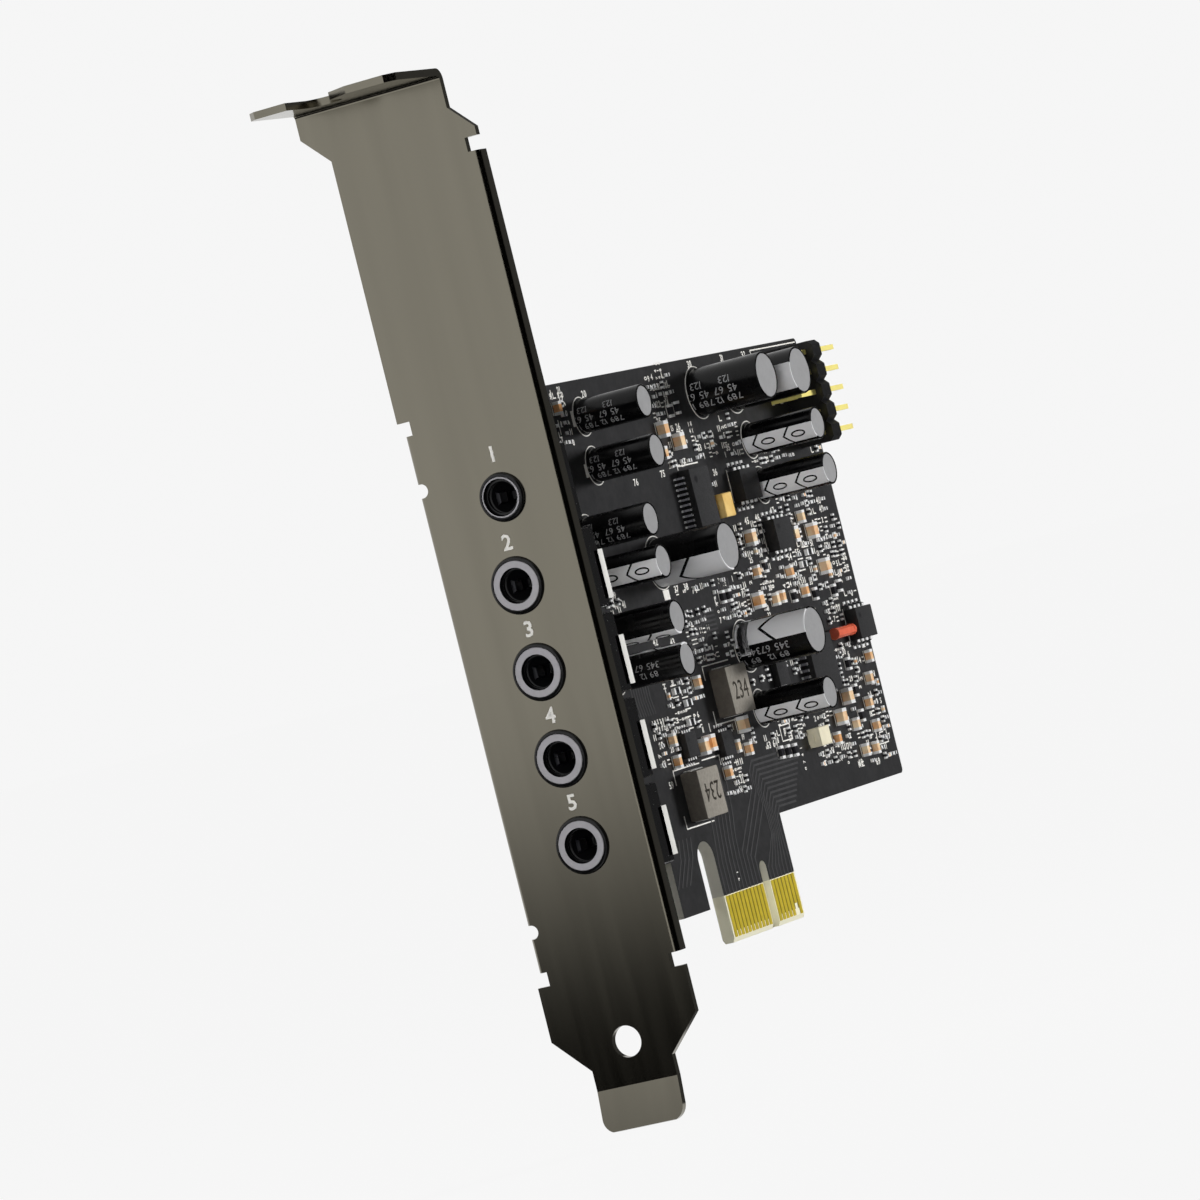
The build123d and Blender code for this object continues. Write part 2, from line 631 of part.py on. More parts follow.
# Coils
def coil(x, z):
    """A moulded power coil between its two end terminals."""
    size_x, size_z, height = COIL_SIZE
    half_x, half_z = size_x / 2, size_z / 2
    top_y = BOARD_FRONT_Y - height
    body = box(x - half_x, x + half_x, top_y, BOARD_FRONT_Y, z - half_z, z + half_z)
    body = chamfer(body.edges().filter_by(Axis.Y), COIL_CHAMFER)
    for side in (-1, 1):
        edge_z = z + side * half_z
        groove = (edge_z - COIL_GROOVE, edge_z + COIL_GROOVE)
        wide = COIL_TERMINAL / 2
        body -= box(x - wide, x + wide, BOARD_FRONT_Y - COIL_TERMINAL_RISE, BOARD_FRONT_Y, *groove)
    return body


# Pin header
def header_tails():
    """Where the header's pins turn down into the board: (x, z)."""
    places = []
    for i in range(HEADER_COLUMNS):
        z = HEADER_TOP_PIN_Z - i * PIN_PITCH
        places.append((HEADER_X - PIN_TAIL_GAP, z))
        places.append((HEADER_X - PIN_TAIL_GAP - PIN_PITCH, z))
    return places


def header_pins():
    """Two rows of bent pins: out along X, and down through the board."""
    pins = []
    half = PIN_SIDE / 2
    end_x = HEADER_X + PIN_PITCH + PIN_REACH
    end_y = BOARD_BACK_Y + TAIL_REACH
    for i, (x, z) in enumerate(header_tails()):
        row = i % 2
        y = BOARD_FRONT_Y - PIN_PITCH * (row + 0.5)
        out = box(x - half, end_x, y - half, y + half, z - half, z + half)
        down = box(x - half, x + half, y, end_y, z - half, z + half)
        pins.append(out + down)
    return pins


def header_block(pins):
    """The black block that spaces the pins, one notched segment to a column."""
    height = 2 * PIN_PITCH
    block = None
    for i in range(HEADER_COLUMNS):
        z = HEADER_TOP_PIN_Z - i * PIN_PITCH
        half = PIN_PITCH / 2
        y0 = BOARD_FRONT_Y - height
        segment = box(HEADER_X, HEADER_X + PIN_PITCH, y0, BOARD_FRONT_Y, z - half, z + half)
        segment = chamfer(segment.edges().filter_by(Axis.X), HEADER_CHAMFER)
        block = segment if block is None else block + segment
    for pin in pins:
        block -= pin
    return block


# Chips
def lead(inner, top_y, reach):
    """A gull-wing lead's side view: (distance from the chip's middle, Y)."""
    foot_y = BOARD_FRONT_Y
    knee = inner + reach * LEAD_KNEE_SHARE
    outer = inner + reach
    return [
        (inner - LEAD_ROOT, top_y),
        (knee, top_y),
        (outer, foot_y),
        (knee, foot_y),
        (inner - LEAD_ROOT, top_y + LEAD_SHEET),
    ]


def leads(x, z, half, along, sign, chip):
    """One row of leads on the side of a chip that faces along X or Z."""
    top_y = BOARD_FRONT_Y - CHIP_STANDOFF - chip["height"] / 2
    profile = lead(half, top_y, chip["reach"])
    width = chip["pitch"] * LEAD_WIDTH_SHARE
    row = []
    for i in range(chip["leads"]):
        offset = (i - (chip["leads"] - 1) / 2) * chip["pitch"]
        if along == "x":
            points = [(x + sign * d, y) for d, y in profile]
            row.append(prism_z(points, z + offset - width / 2, z + offset + width / 2))
        else:
            points = [(y, z + sign * d) for d, y in profile]
            row.append(prism_x(points, x + offset - width / 2, x + offset + width / 2))
    return row


def chip_solid(x, z, chip):
    """A moulded chip body with its leads."""
    half_x, half_z = chip["size_x"] / 2, chip["size_z"] / 2
    base_y = BOARD_FRONT_Y - CHIP_STANDOFF
    top_y = base_y - chip["height"]
    body = box(x - half_x, x + half_x, top_y, base_y, z - half_z, z + half_z)
    body = chamfer(body.faces().sort_by(Axis.Y)[0].edges(), CHIP_CHAMFER)
    for along in chip["sides"]:
        half = half_x if along == "x" else half_z
        for sign in (-1, 1):
            for one in leads(x, z, half, along, sign, chip):
                body += one
    return body


# Small surface parts
def small_part(x, z, size, turned):
    """A chip capacitor or resistor, lying along X if it is turned and along Z if not."""
    length, width, height = size
    half_x, half_z = (length / 2, width / 2) if turned else (width / 2, length / 2)
    top_y = BOARD_FRONT_Y - height
    return box(x - half_x, x + half_x, top_y, BOARD_FRONT_Y, z - half_z, z + half_z)


def moulded_block(x, z, size_x, size_z, height):
    """A rectangular moulded part with folded end terminals."""
    half_x, half_z = size_x / 2, size_z / 2
    top_y = BOARD_FRONT_Y - height
    base_y = BOARD_FRONT_Y
    body = box(x - half_x, x + half_x, top_y, base_y, z - half_z, z + half_z)
    body = chamfer(body.faces().sort_by(Axis.Y)[0].edges(), BLOCK_CHAMFER)
    wide = size_z * BLOCK_TERMINAL_HALF_SHARE
    for side in (-1, 1):
        x_out = x + side * half_x
        x_span = sorted((x_out, x_out + side * BLOCK_TERMINAL))
        rise_y = BOARD_FRONT_Y - height * BLOCK_TERMINAL_RISE_SHARE
        body += box(x_span[0], x_span[1], rise_y, base_y, z - wide, z + wide)
    return body


def round_diode():
    """A glass diode lying along X between two metal end caps."""
    x0, x1 = DIODE_X
    y = BOARD_FRONT_Y - DIODE_RADIUS
    cap = DIODE_CAP
    glass = DIODE_RADIUS - DIODE_STEP
    body = flats_x(x0 + cap, x1 - cap, y, DIODE_Z, glass, DIODE_SIDES)
    body += flats_x(x0, x0 + cap, y, DIODE_Z, DIODE_RADIUS, DIODE_SIDES)
    return body + flats_x(x1 - cap, x1, y, DIODE_Z, DIODE_RADIUS, DIODE_SIDES)


def build():
    """Every piece by the name of its node."""
    pieces = {
        "bracket": bracket(),
        "bracket_screw": bracket_screw(),
        "circuit_board": circuit_board(),
    }
    front, back = BOARD_FRONT_Y, BOARD_BACK_Y
    skin = CONTACT_THICKNESS
    last_but_one = CONTACTS_BEFORE_KEY + CONTACTS_AFTER_KEY - 2
    pieces["edge_contacts_component_side"] = edge_contacts(front - skin, front, last_but_one)
    pieces["edge_contacts_solder_side"] = edge_contacts(back, back + skin, 0)
    for i in range(SOCKET_COUNT):
        pieces[f"socket_{i + 1}_housing"] = socket_housing(i)
        pieces[f"socket_{i + 1}_ring"] = socket_ring(i)
        if i > 0:
            pieces[f"socket_{i + 1}_spring_carrier"] = socket_carrier(i)
    pieces["socket_terminals"] = socket_terminals()
    for i, place in enumerate(CAPACITORS):
        pieces[f"capacitor_{i + 1:02d}_can"] = capacitor_can(*place)
        pieces[f"capacitor_{i + 1:02d}_sleeve"] = capacitor_sleeve(*place)
    for i, place in enumerate(COILS):
        pieces[f"coil_{i + 1}"] = coil(*place)
    pins = header_pins()
    pieces["header_block"] = header_block(pins)
    pieces["header_pins"] = Compound(children=pins)
    for name, chip in CHIPS.items():
        solids = [chip_solid(x, z, chip) for x, z in chip["places"]]
        pieces[name] = solids[0] if len(solids) == 1 else Compound(children=solids)
    for name, size in SMALL_SIZES.items():
        parts = [small_part(x, z, size, turned) for x, z, turned in SMALL_PLACES[name]]
        pieces[name] = Compound(children=parts)
    pieces["tantalum_capacitor"] = moulded_block(*TANTALUM)
    pieces["crystal"] = moulded_block(*CRYSTAL)
    pieces["red_diode"] = round_diode()
    return pieces


os.makedirs("parts", exist_ok=True)
to_origin = Location((NOTCH_FROM_FACE, -NOTCH_Y, -TAB_UNDER_Z))
for name, piece in build().items():
    export_step(to_origin * piece, f"parts/{name}.step")
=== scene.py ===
"""Looks for an internal sound card: smooth parts, print, finishes and a small studio.

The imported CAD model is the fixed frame. Sizes below are in millimetres in the bracket's
own frame, X into the computer, Y towards the board's solder side and Z up from the
bracket's lower end, and place() turns them into the row frame in metres.
"""
import logging
import math
import random
from dataclasses import dataclass, field
from enum import Enum
from typing import Callable, Optional, Sequence

import bmesh
import bpy
from mathutils import Matrix, Vector


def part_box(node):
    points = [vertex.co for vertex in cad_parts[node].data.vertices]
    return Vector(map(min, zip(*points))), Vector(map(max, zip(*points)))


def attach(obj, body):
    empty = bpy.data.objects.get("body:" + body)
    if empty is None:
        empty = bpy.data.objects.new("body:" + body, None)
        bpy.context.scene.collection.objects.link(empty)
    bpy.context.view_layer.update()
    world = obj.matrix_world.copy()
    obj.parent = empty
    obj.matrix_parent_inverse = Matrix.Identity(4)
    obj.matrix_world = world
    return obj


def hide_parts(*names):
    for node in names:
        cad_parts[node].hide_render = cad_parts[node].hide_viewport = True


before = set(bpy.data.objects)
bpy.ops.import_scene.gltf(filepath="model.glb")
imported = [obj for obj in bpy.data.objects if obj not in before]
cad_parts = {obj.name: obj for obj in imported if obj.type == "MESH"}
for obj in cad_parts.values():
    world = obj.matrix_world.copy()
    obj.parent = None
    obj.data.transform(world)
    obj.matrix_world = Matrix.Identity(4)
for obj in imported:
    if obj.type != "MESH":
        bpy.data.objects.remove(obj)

LOG = logging.getLogger("sound_card")
Point = tuple[float, float, float]
Flat = tuple[float, float]
Colour = tuple[float, float, float]
Box = tuple[Vector, Vector]
Spot = tuple[Vector, Point, float]
Lay = Callable[[float, float, float], Vector]
Socket = bpy.types.NodeSocket

MM = 0.001
# Where the bracket's own origin lies in the row frame, in millimetres.
ROW_ORIGIN = Vector((6.8, -4.99, -119.16))
# The board's component side and its solder side, along the bracket's Y.
BOARD_Y = 5.6
BACK_Y = 7.17
SOCKET_COUNT = 5
CAPACITOR_COUNT = 13


def place(x: float, y: float, z: float) -> Vector:
    """Turns a bracket-frame point in millimetres into a row-frame point in metres.

    Args:
        x: Distance behind the bracket's outer face.
        y: Distance from the middle of the bracket's plate.
        z: Height above the bracket's lower end.

    Returns:
        The same point in the row frame.
    """
    return (Vector((x, y, z)) + ROW_ORIGIN) * MM


def card_point(point: Vector) -> Vector:
    """Turns a row-frame point in metres into a bracket-frame point in millimetres."""
    return point / MM - ROW_ORIGIN


def node_box(node: str) -> Box:
    """A CAD node's lowest and highest corners in bracket-frame millimetres."""
    low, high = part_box(node)
    return card_point(low), card_point(high)


def solid_boxes(node: str) -> list[Box]:
    """The boxes of a CAD node's separate solids, from the lowest Z up.

    Args:
        node: The node's name.

    Returns:
        One pair of corners for each solid, in bracket-frame millimetres.
    """
    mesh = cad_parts[node].data
    owner: dict[Point, Point] = {}

    def root(key: Point) -> Point:
        """Follows a corner to the one that stands for its solid.

        Args:
            key: The corner.

        Returns:
            The corner that stands for the solid.
        """
        while owner[key] != key:
            owner[key] = owner[owner[key]]
            key = owner[key]
        return key

    keys = [tuple(round(c, 6) for c in v.co) for v in mesh.vertices]
    for key in keys:
        owner.setdefault(key, key)
    for polygon in mesh.polygons:
        first = root(keys[polygon.vertices[0]])
        for index in polygon.vertices[1:]:
            owner[root(keys[index])] = first
    groups: dict[Point, list[Point]] = {}
    for key in owner:
        groups.setdefault(root(key), []).append(key)
    boxes = []
    for corners in groups.values():
        low = Vector([min(c[i] for c in corners) for i in range(3)])
        high = Vector([max(c[i] for c in corners) for i in range(3)])
        boxes.append((card_point(low), card_point(high)))
    return sorted(boxes, key=lambda pair: (round(pair[0].z, 3), round(pair[0].x, 3)))


def middle_of(box: Box) -> Flat:
    """A box's middle, as its X and its Z."""
    return (box[0].x + box[1].x) / 2, (box[0].z + box[1].z) / 2


def put_in_scene(name: str, data: bpy.types.ID) -> bpy.types.Object:
    """Makes an object for a mesh, a lamp or the like, and links it to the scene.

    Args:
        name: The object's name.
        data: What it shows.

    Returns:
        The object.
    """
    item = bpy.data.objects.new(name, data)
    bpy.context.scene.collection.objects.link(item)
    return item


def linear(red: float, green: float, blue: float) -> tuple[float, float, float, float]:
    """Turns a display colour from 0 to 255 into the linear colour that shaders use.

    Args:
        red: Red, 0 to 255.
        green: Green, 0 to 255.
        blue: Blue, 0 to 255.

    Returns:
        Linear red, green and blue with an alpha of 1.
    """
    channels = []
    for value in (red, green, blue):
        share = value / 255
        low = share / 12.92
        high = ((share + 0.055) / 1.055) ** 2.4
        channels.append(low if share <= 0.04045 else high)
    return (channels[0], channels[1], channels[2], 1.0)


class NodeTree:
    """The nodes of a material or of a geometry tree, added one by one."""

    def __init__(self, tree: bpy.types.NodeTree) -> None:
        """Takes the tree that the nodes go into."""
        self.tree = tree

    def node(self, kind: str, **links: object) -> bpy.types.Node:
        """Adds a node.

        Args:
            kind: The node's type.
            links: Sockets to link, or values to set, by input name with _ for spaces.

        Returns:
            The node.
        """
        made = self.tree.nodes.new(kind)
        for name, value in links.items():
            self.feed(made.inputs[name.replace("_", " ")], value)
        return made

    def feed(self, target: Socket, value: object) -> None:
        """Links a socket to a node's input, or sets the input's value.

        Args:
            target: The input.
            value: An output socket or a value.
        """
        if isinstance(value, Socket):
            self.tree.links.new(value, target)
        else:
            target.default_value = value

    def math(self, operation: str, *values: object) -> Socket:
        """Adds a math node.

        Args:
            operation: What it works out.
            values: Its inputs in order, as sockets or numbers.

        Returns:
            Its result.
        """
        made = self.tree.nodes.new("ShaderNodeMath")
        made.operation = operation
        for target, value in zip(made.inputs, values):
            self.feed(target, value)
        return made.outputs[0]


class Grain(Enum):
    """How the fine unevenness of a finish lies."""

    EVEN = "even"
    ALONG_Z = "along_z"


GRAIN_STRETCH = {Grain.EVEN: (1.0, 1.0, 1.0), Grain.ALONG_Z: (1.0, 1.0, 0.06)}
# The part of a noise field's range that holds nearly all of its values.
NOISE_SPAN = (0.3, 0.7)


@dataclass(frozen=True)
class Finish:
    """A surface finish with its colour change, gloss change and fine relief."""

    name: str
    colour: Colour
    other: Optional[Colour] = None
    roughness: float = 0.5
    metallic: float = 0.0
    specular: float = 0.5
    coat: float = 0.0
    mottle: float = 0.12
    mottle_per_m: float = 700.0
    gloss_change: float = 0.08
    relief_mm: float = 0.004
    relief_per_m: float = 5000.0
    grain: Grain = Grain.EVEN

    def material(self) -> bpy.types.Material:
        """Builds the finish's shader nodes once and hands the material out after that.

        Returns:
            The material.
        """
        known = bpy.data.materials.get(self.name)
        if known is not None:
            return known
        material = bpy.data.materials.new(self.name)
        material.use_nodes = True
        shader = material.node_tree.nodes["Principled BSDF"]
        shader.inputs["Metallic"].default_value = self.metallic
        shader.inputs["Specular IOR Level"].default_value = self.specular
        shader.inputs["Coat Weight"].default_value = self.coat
        shader.inputs["Coat Roughness"].default_value = 0.15
        nodes = NodeTree(material.node_tree)
        where = nodes.node("ShaderNodeTexCoord")
        grain = nodes.node("ShaderNodeMapping", Vector=where.outputs["Object"],
                           Scale=GRAIN_STRETCH[self.grain])
        points = grain.outputs["Vector"]
        nodes.feed(shader.inputs["Base Color"], self._colour(nodes, points))
        nodes.feed(shader.inputs["Roughness"], self._gloss(nodes, points))
        nodes.feed(shader.inputs["Normal"], self._relief(nodes, points))
        return material

    @staticmethod
    def _noise(nodes: NodeTree, points: Socket, scale: float, detail: float) -> Socket:
        """A noise field at points, with scale waves to a metre and detail octaves."""
        noise = nodes.node("ShaderNodeTexNoise", Vector=points, Scale=scale, Detail=detail)
        return noise.outputs["Fac"]

    def _colour(self, nodes: NodeTree, points: Socket) -> Socket:
        """Lets the colour wander round its own value, or between its two colours.

        Args:
            nodes: The material's nodes.
            points: The coordinates to read.

        Returns:
            The socket with the colour.
        """
        dark, light = linear(*(self.other or self.colour)), linear(*self.colour)
        ramp = nodes.node("ShaderNodeValToRGB",
                          Fac=self._noise(nodes, points, self.mottle_per_m, 3.0))
        first, last = ramp.color_ramp.elements
        first.position, last.position = NOISE_SPAN
        first.color = (*(c * (1 - self.mottle) for c in dark[:3]), 1)
        last.color = (*(min(1.0, c * (1 + self.mottle)) for c in light[:3]), 1)
        return ramp.outputs["Color"]

    def _gloss(self, nodes: NodeTree, points: Socket) -> Socket:
        """Lets the roughness wander a little round its own value.

        Args:
            nodes: The material's nodes.
            points: The coordinates to read.

        Returns:
            The socket with the roughness.
        """
        span = nodes.node("ShaderNodeMapRange",
                          Value=self._noise(nodes, points, self.mottle_per_m * 2.3, 2.0),
                          From_Min=NOISE_SPAN[0], From_Max=NOISE_SPAN[1],
                          To_Min=max(0.02, self.roughness - self.gloss_change),
                          To_Max=min(1.0, self.roughness + self.gloss_change))
        return span.outputs["Result"]

    def _relief(self, nodes: NodeTree, points: Socket) -> Socket:
        """Fine bumps at the scale of the real surface.

        Args:
            nodes: The material's nodes.
            points: The coordinates to read.

        Returns:
            The socket with the bumped normal.
        """
        bump = nodes.node("ShaderNodeBump", Distance=self.relief_mm * MM, Strength=1.0,
                          Height=self._noise(nodes, points, self.relief_per_m, 4.0))
        return bump.outputs["Normal"]


STEEL = Finish("bracket_steel_finish", (127, 123, 111), roughness=0.17, metallic=1.0, mottle=0.05,
               mottle_per_m=260, gloss_change=0.02, relief_mm=0.0003, relief_per_m=2600,
               grain=Grain.ALONG_Z)
MASK_RELIEF = Finish("mask_relief_finish", (72, 72, 73), roughness=0.45, specular=0.4,
                     mottle=0.1, mottle_per_m=420, relief_mm=0.004, relief_per_m=1800)
GOLD = Finish("gold_finish", (218, 195, 56), roughness=0.42, metallic=0.2, mottle=0.08,
              relief_mm=0.002)
GAP_OLIVE = Finish("contact_gap_finish", (150, 134, 62), roughness=0.6, relief_mm=0.002)
PIN_GOLD = Finish("pin_gold_finish", (255, 238, 142), roughness=0.4, mottle=0.04,
                  relief_mm=0.002)
COIL_MARK = Finish("coil_mark_finish", (52, 48, 42), roughness=0.6, relief_mm=0.002)
CHIP_MARK = Finish("chip_mark_finish", (36, 36, 38), roughness=0.5, relief_mm=0.002)
NOSE_PLASTIC = Finish("nose_plastic_finish", (12, 12, 13), roughness=0.24, specular=0.35,
                      mottle=0.1, relief_mm=0.001)
GREY_RING = Finish("grey_ring_finish", (176, 174, 178), roughness=0.45, mottle=0.05,
                   mottle_per_m=1800, relief_mm=0.002)
PALE_PLASTIC = Finish("pale_plastic_finish", (236, 235, 230), roughness=0.45, mottle=0.03,
                      relief_mm=0.003)
TINNED = Finish("tinned_finish", (225, 225, 223), roughness=0.32, metallic=0.5, mottle=0.06,
                mottle_per_m=1600, relief_mm=0.006, relief_per_m=2500)
CAN = Finish("can_top_finish", (160, 160, 161), roughness=0.6, metallic=0.05, mottle=0.04,
             mottle_per_m=1100, relief_mm=0.003, relief_per_m=3000)
SLEEVE = Finish("sleeve_finish", (7, 7, 8), roughness=0.24, specular=0.24, mottle=0.06,
                mottle_per_m=300, relief_mm=0.0006, relief_per_m=1200)
SLEEVE_PRINT = Finish("sleeve_print_finish", (249, 249, 251), roughness=0.4,
                      mottle=0.02, relief_mm=0.0008)
COIL_BODY = Finish("coil_body_finish", (152, 147, 138), roughness=0.62, mottle=0.12,
                   mottle_per_m=2200, relief_mm=0.014, relief_per_m=2600)
# Painted shade: a darker copy of the coil body's colour, for the sides that stand up from the
# board.
COIL_SIDE_SHADE = Finish("coil_side_painted_shade_finish", (96, 91, 84), roughness=0.66, mottle=0.12,
                   mottle_per_m=2200, relief_mm=0.014, relief_per_m=2600)
HEADER_PLASTIC = Finish("header_plastic_finish", (24, 24, 25), roughness=0.42, relief_mm=0.004)
# Painted shade: a near-black copy of the chip resin, for the sides that stand up from the board.
CHIP_SIDE_SHADE = Finish("chip_side_painted_shade_finish", (18, 18, 19), roughness=0.6, relief_mm=0.005)
CHIP_RESIN = Finish("chip_resin_finish", (56, 56, 57), roughness=0.6, mottle=0.12,
                    mottle_per_m=3000, relief_mm=0.006, relief_per_m=6000)
CERAMIC = Finish("ceramic_finish", (255, 232, 196), other=(232, 158, 88), roughness=0.5,
                 mottle=0.04, mottle_per_m=430, relief_mm=0.004)
# Pale tin made flat white, partly its own colour and partly a painted highlight, for end caps and
# lead feet.
PALE_TIN_HIGHLIGHT = Finish("pale_tin_highlight_finish", (250, 250, 250), roughness=0.35, metallic=0.1, mottle=0.04,
                 relief_mm=0.004)
RESISTOR = Finish("resistor_finish", (34, 34, 38), roughness=0.35, mottle=0.1, relief_mm=0.002)
TANTALUM = Finish("tantalum_finish", (240, 206, 132), other=(222, 176, 92), roughness=0.5,
                  mottle=0.04, mottle_per_m=520, relief_mm=0.004)
CRYSTAL_CASE = Finish("crystal_case_finish", (244, 236, 208), roughness=0.4, mottle=0.05,
                      relief_mm=0.003)
RED_GLASS = Finish("red_glass_finish", (255, 116, 84), roughness=0.12, coat=0.6, mottle=0.14,
                   mottle_per_m=900, relief_mm=0.001)
SCREW_STEEL = Finish("screw_steel_finish", (150, 150, 150), roughness=0.3, metallic=1.0,
                     relief_mm=0.003)
WHITE_INK = Finish("white_ink_finish", (246, 244, 238), roughness=0.6, mottle=0.05,
                   mottle_per_m=2600, relief_mm=0.003)
SLEEVE_INK = Finish("sleeve_ink_finish", (172, 172, 174), roughness=0.5, relief_mm=0.001)
# Painted shade: near black and almost unreflecting, for the bore's wall and the ring's inner
# faces.
MOUTH_SHADE = Finish("painted_mouth_shade_finish", (6, 6, 7), roughness=0.8, specular=0.08, relief_mm=0.002)
# Dark metal for the socket contacts, and painted shade on the slanted legs of the chips' leads.
DARK_METAL_AND_LEG_SHADE = Finish("dark_metal_and_leg_shade_finish", (92, 92, 96), roughness=0.35, metallic=1.0,
                      relief_mm=0.002)

CAD_FINISHES = {
    "bracket": STEEL,
    "bracket_screw": SCREW_STEEL,
    "edge_contacts_component_side": GOLD,
    "edge_contacts_solder_side": GOLD,
    "socket_terminals": TINNED,
    "header_block": HEADER_PLASTIC,
    "header_pins": PIN_GOLD,
    "tantalum_capacitor": TANTALUM,
    "crystal": CRYSTAL_CASE,
    "red_diode": RED_GLASS,
}


class Draft:
    """A piece's mesh while it is drawn, in the bracket's millimetres."""

    # Edges that turn more than this stay sharp.
    SHARP_DEGREES = 32.0

    def __init__(self) -> None:
        """Starts with no faces."""
        self.shape = bmesh.new()

    def face(self, points: Sequence[Vector]) -> None:
        """Adds one face from its corners in order."""
        self.shape.faces.new([self.shape.verts.new(point) for point in points])

    def lathe(
        self,
        profile: Sequence[Flat],
        axis: Lay,
        sides: int,
        materials: Sequence[int] = (),
        closed: bool = False,
    ) -> None:
        """Turns a profile about an axis.

        Args:
            profile: (radius, distance along the axis) points.
            axis: Gives a point from (along, across, up).
            sides: Steps round the axis.
            materials: The material of each step of the profile.
            closed: Whether the profile joins its own start.
        """
        rings: list[list[bmesh.types.BMVert]] = []
        for radius, along in profile:
            if radius < 1e-6:
                rings.append([self.shape.verts.new(axis(along, 0, 0))])
                continue
            ring = []
            for step in range(sides):
                turn = 2 * math.pi * step / sides
                across, up = radius * math.cos(turn), radius * math.sin(turn)
                ring.append(self.shape.verts.new(axis(along, across, up)))
            rings.append(ring)
        count = len(rings) if closed else len(rings) - 1
        for index in range(count):
            one, two = rings[index], rings[(index + 1) % len(rings)]
            number = materials[index] if materials else 0
            for step in range(sides):
                after = (step + 1) % sides
                if len(one) == 1:
                    corners = [one[0], two[after], two[step]]
                elif len(two) == 1:
                    corners = [one[step], one[after], two[0]]
                else:
                    corners = [one[step], one[after], two[after], two[step]]
                self.shape.faces.new(corners).material_index = number

    def block(self, low: Point, high: Point, edge: float, material: int = 0) -> None:
        """Adds a block with rounded edges.

        Args:
            low: Its lowest corner.
            high: Its highest corner.
            edge: The width of its rounded edges.
            material: The number of its material.
        """
        size = [h - l for l, h in zip(low, high)]
        middle = [(h + l) / 2 for l, h in zip(low, high)]
        part = bmesh.new()
        bmesh.ops.create_cube(part, size=1.0)
        bmesh.ops.scale(part, vec=size, verts=part.verts)
        bmesh.ops.bevel(part, geom=list(part.edges), offset=edge, segments=2,
                        affect="EDGES", profile=0.7)
        bmesh.ops.translate(part, vec=middle, verts=part.verts)
        copies = {vert: self.shape.verts.new(vert.co) for vert in part.verts}
        for one in part.faces:
            made = self.shape.faces.new([copies[vert] for vert in one.verts])
            made.material_index = material
        part.free()

    def prism(
        self,
        outline: Sequence[Flat],
        axis: Lay,
        start: float,
        end: float,
        material: int = 0,
    ) -> None:
        """Adds a straight prism.

        Args:
            outline: Its (across, up) corners in order.
            axis: Gives a point from (along, across, up).
            start: Where it starts along the axis.
            end: Where it ends along the axis.
            material: The number of its material.
        """
        near = [self.shape.verts.new(axis(start, a, u)) for a, u in outline]
        far = [self.shape.verts.new(axis(end, a, u)) for a, u in outline]
        count = len(outline)
        faces = [near, list(reversed(far))]
        for index in range(count):
            after = (index + 1) % count
            faces.append([near[index], far[index], far[after], near[after]])
        for corners in faces:
            self.shape.faces.new(corners).material_index = material

    def mesh(self, name: str) -> bpy.types.Mesh:
        """Finishes the drawing as a mesh in the row frame.

        Args:
            name: The mesh's name.

        Returns:
            The mesh, with its faces outward and its place in its points.
        """
        for vert in self.shape.verts:
            vert.co = place(*vert.co)
        bmesh.ops.remove_doubles(self.shape, verts=self.shape.verts, dist=1e-7)
        bmesh.ops.recalc_face_normals(self.shape, faces=self.shape.faces)
        limit = math.radians(self.SHARP_DEGREES)
        for one in self.shape.faces:
            one.smooth = True
        for edge in self.shape.edges:
            if len(edge.link_faces) == 2 and edge.calc_face_angle(0) > limit:
                edge.smooth = False
        mesh = bpy.data.meshes.new(name)
        self.shape.to_mesh(mesh)
        self.shape.free()
        return mesh


def add_piece(
    name: str,
    mesh: bpy.types.Mesh,
    finishes: Sequence[Finish],
    replaced: Sequence[str] = (),
) -> None:
    """Puts a finished mesh into the scene as a piece of the card.

    Args:
        name: The piece's name.
        mesh: Its mesh, in the row frame.
        finishes: Its finishes in the order of its material numbers, or none if it has them.
        replaced: The CAD nodes that it stands for.
    """
    for finish in finishes:
        mesh.materials.append(finish.material())
    piece = put_in_scene(name, mesh)
    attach(piece, "root")
    if replaced:
        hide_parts(*replaced)
    LOG.info("%s: %d faces", name, len(mesh.polygons))


def along_x(y: float, z: float) -> Lay:
    """An axis along X through (y, z), as a function from (along, across, up) to a point."""
    return lambda along, across, up: Vector((along, y + across, z + up))


def along_y(x: float, z: float) -> Lay:
    """An axis along Y through (x, z), as a function from (along, across, up) to a point."""
    return lambda along, across, up: Vector((x + across, along, z + up))


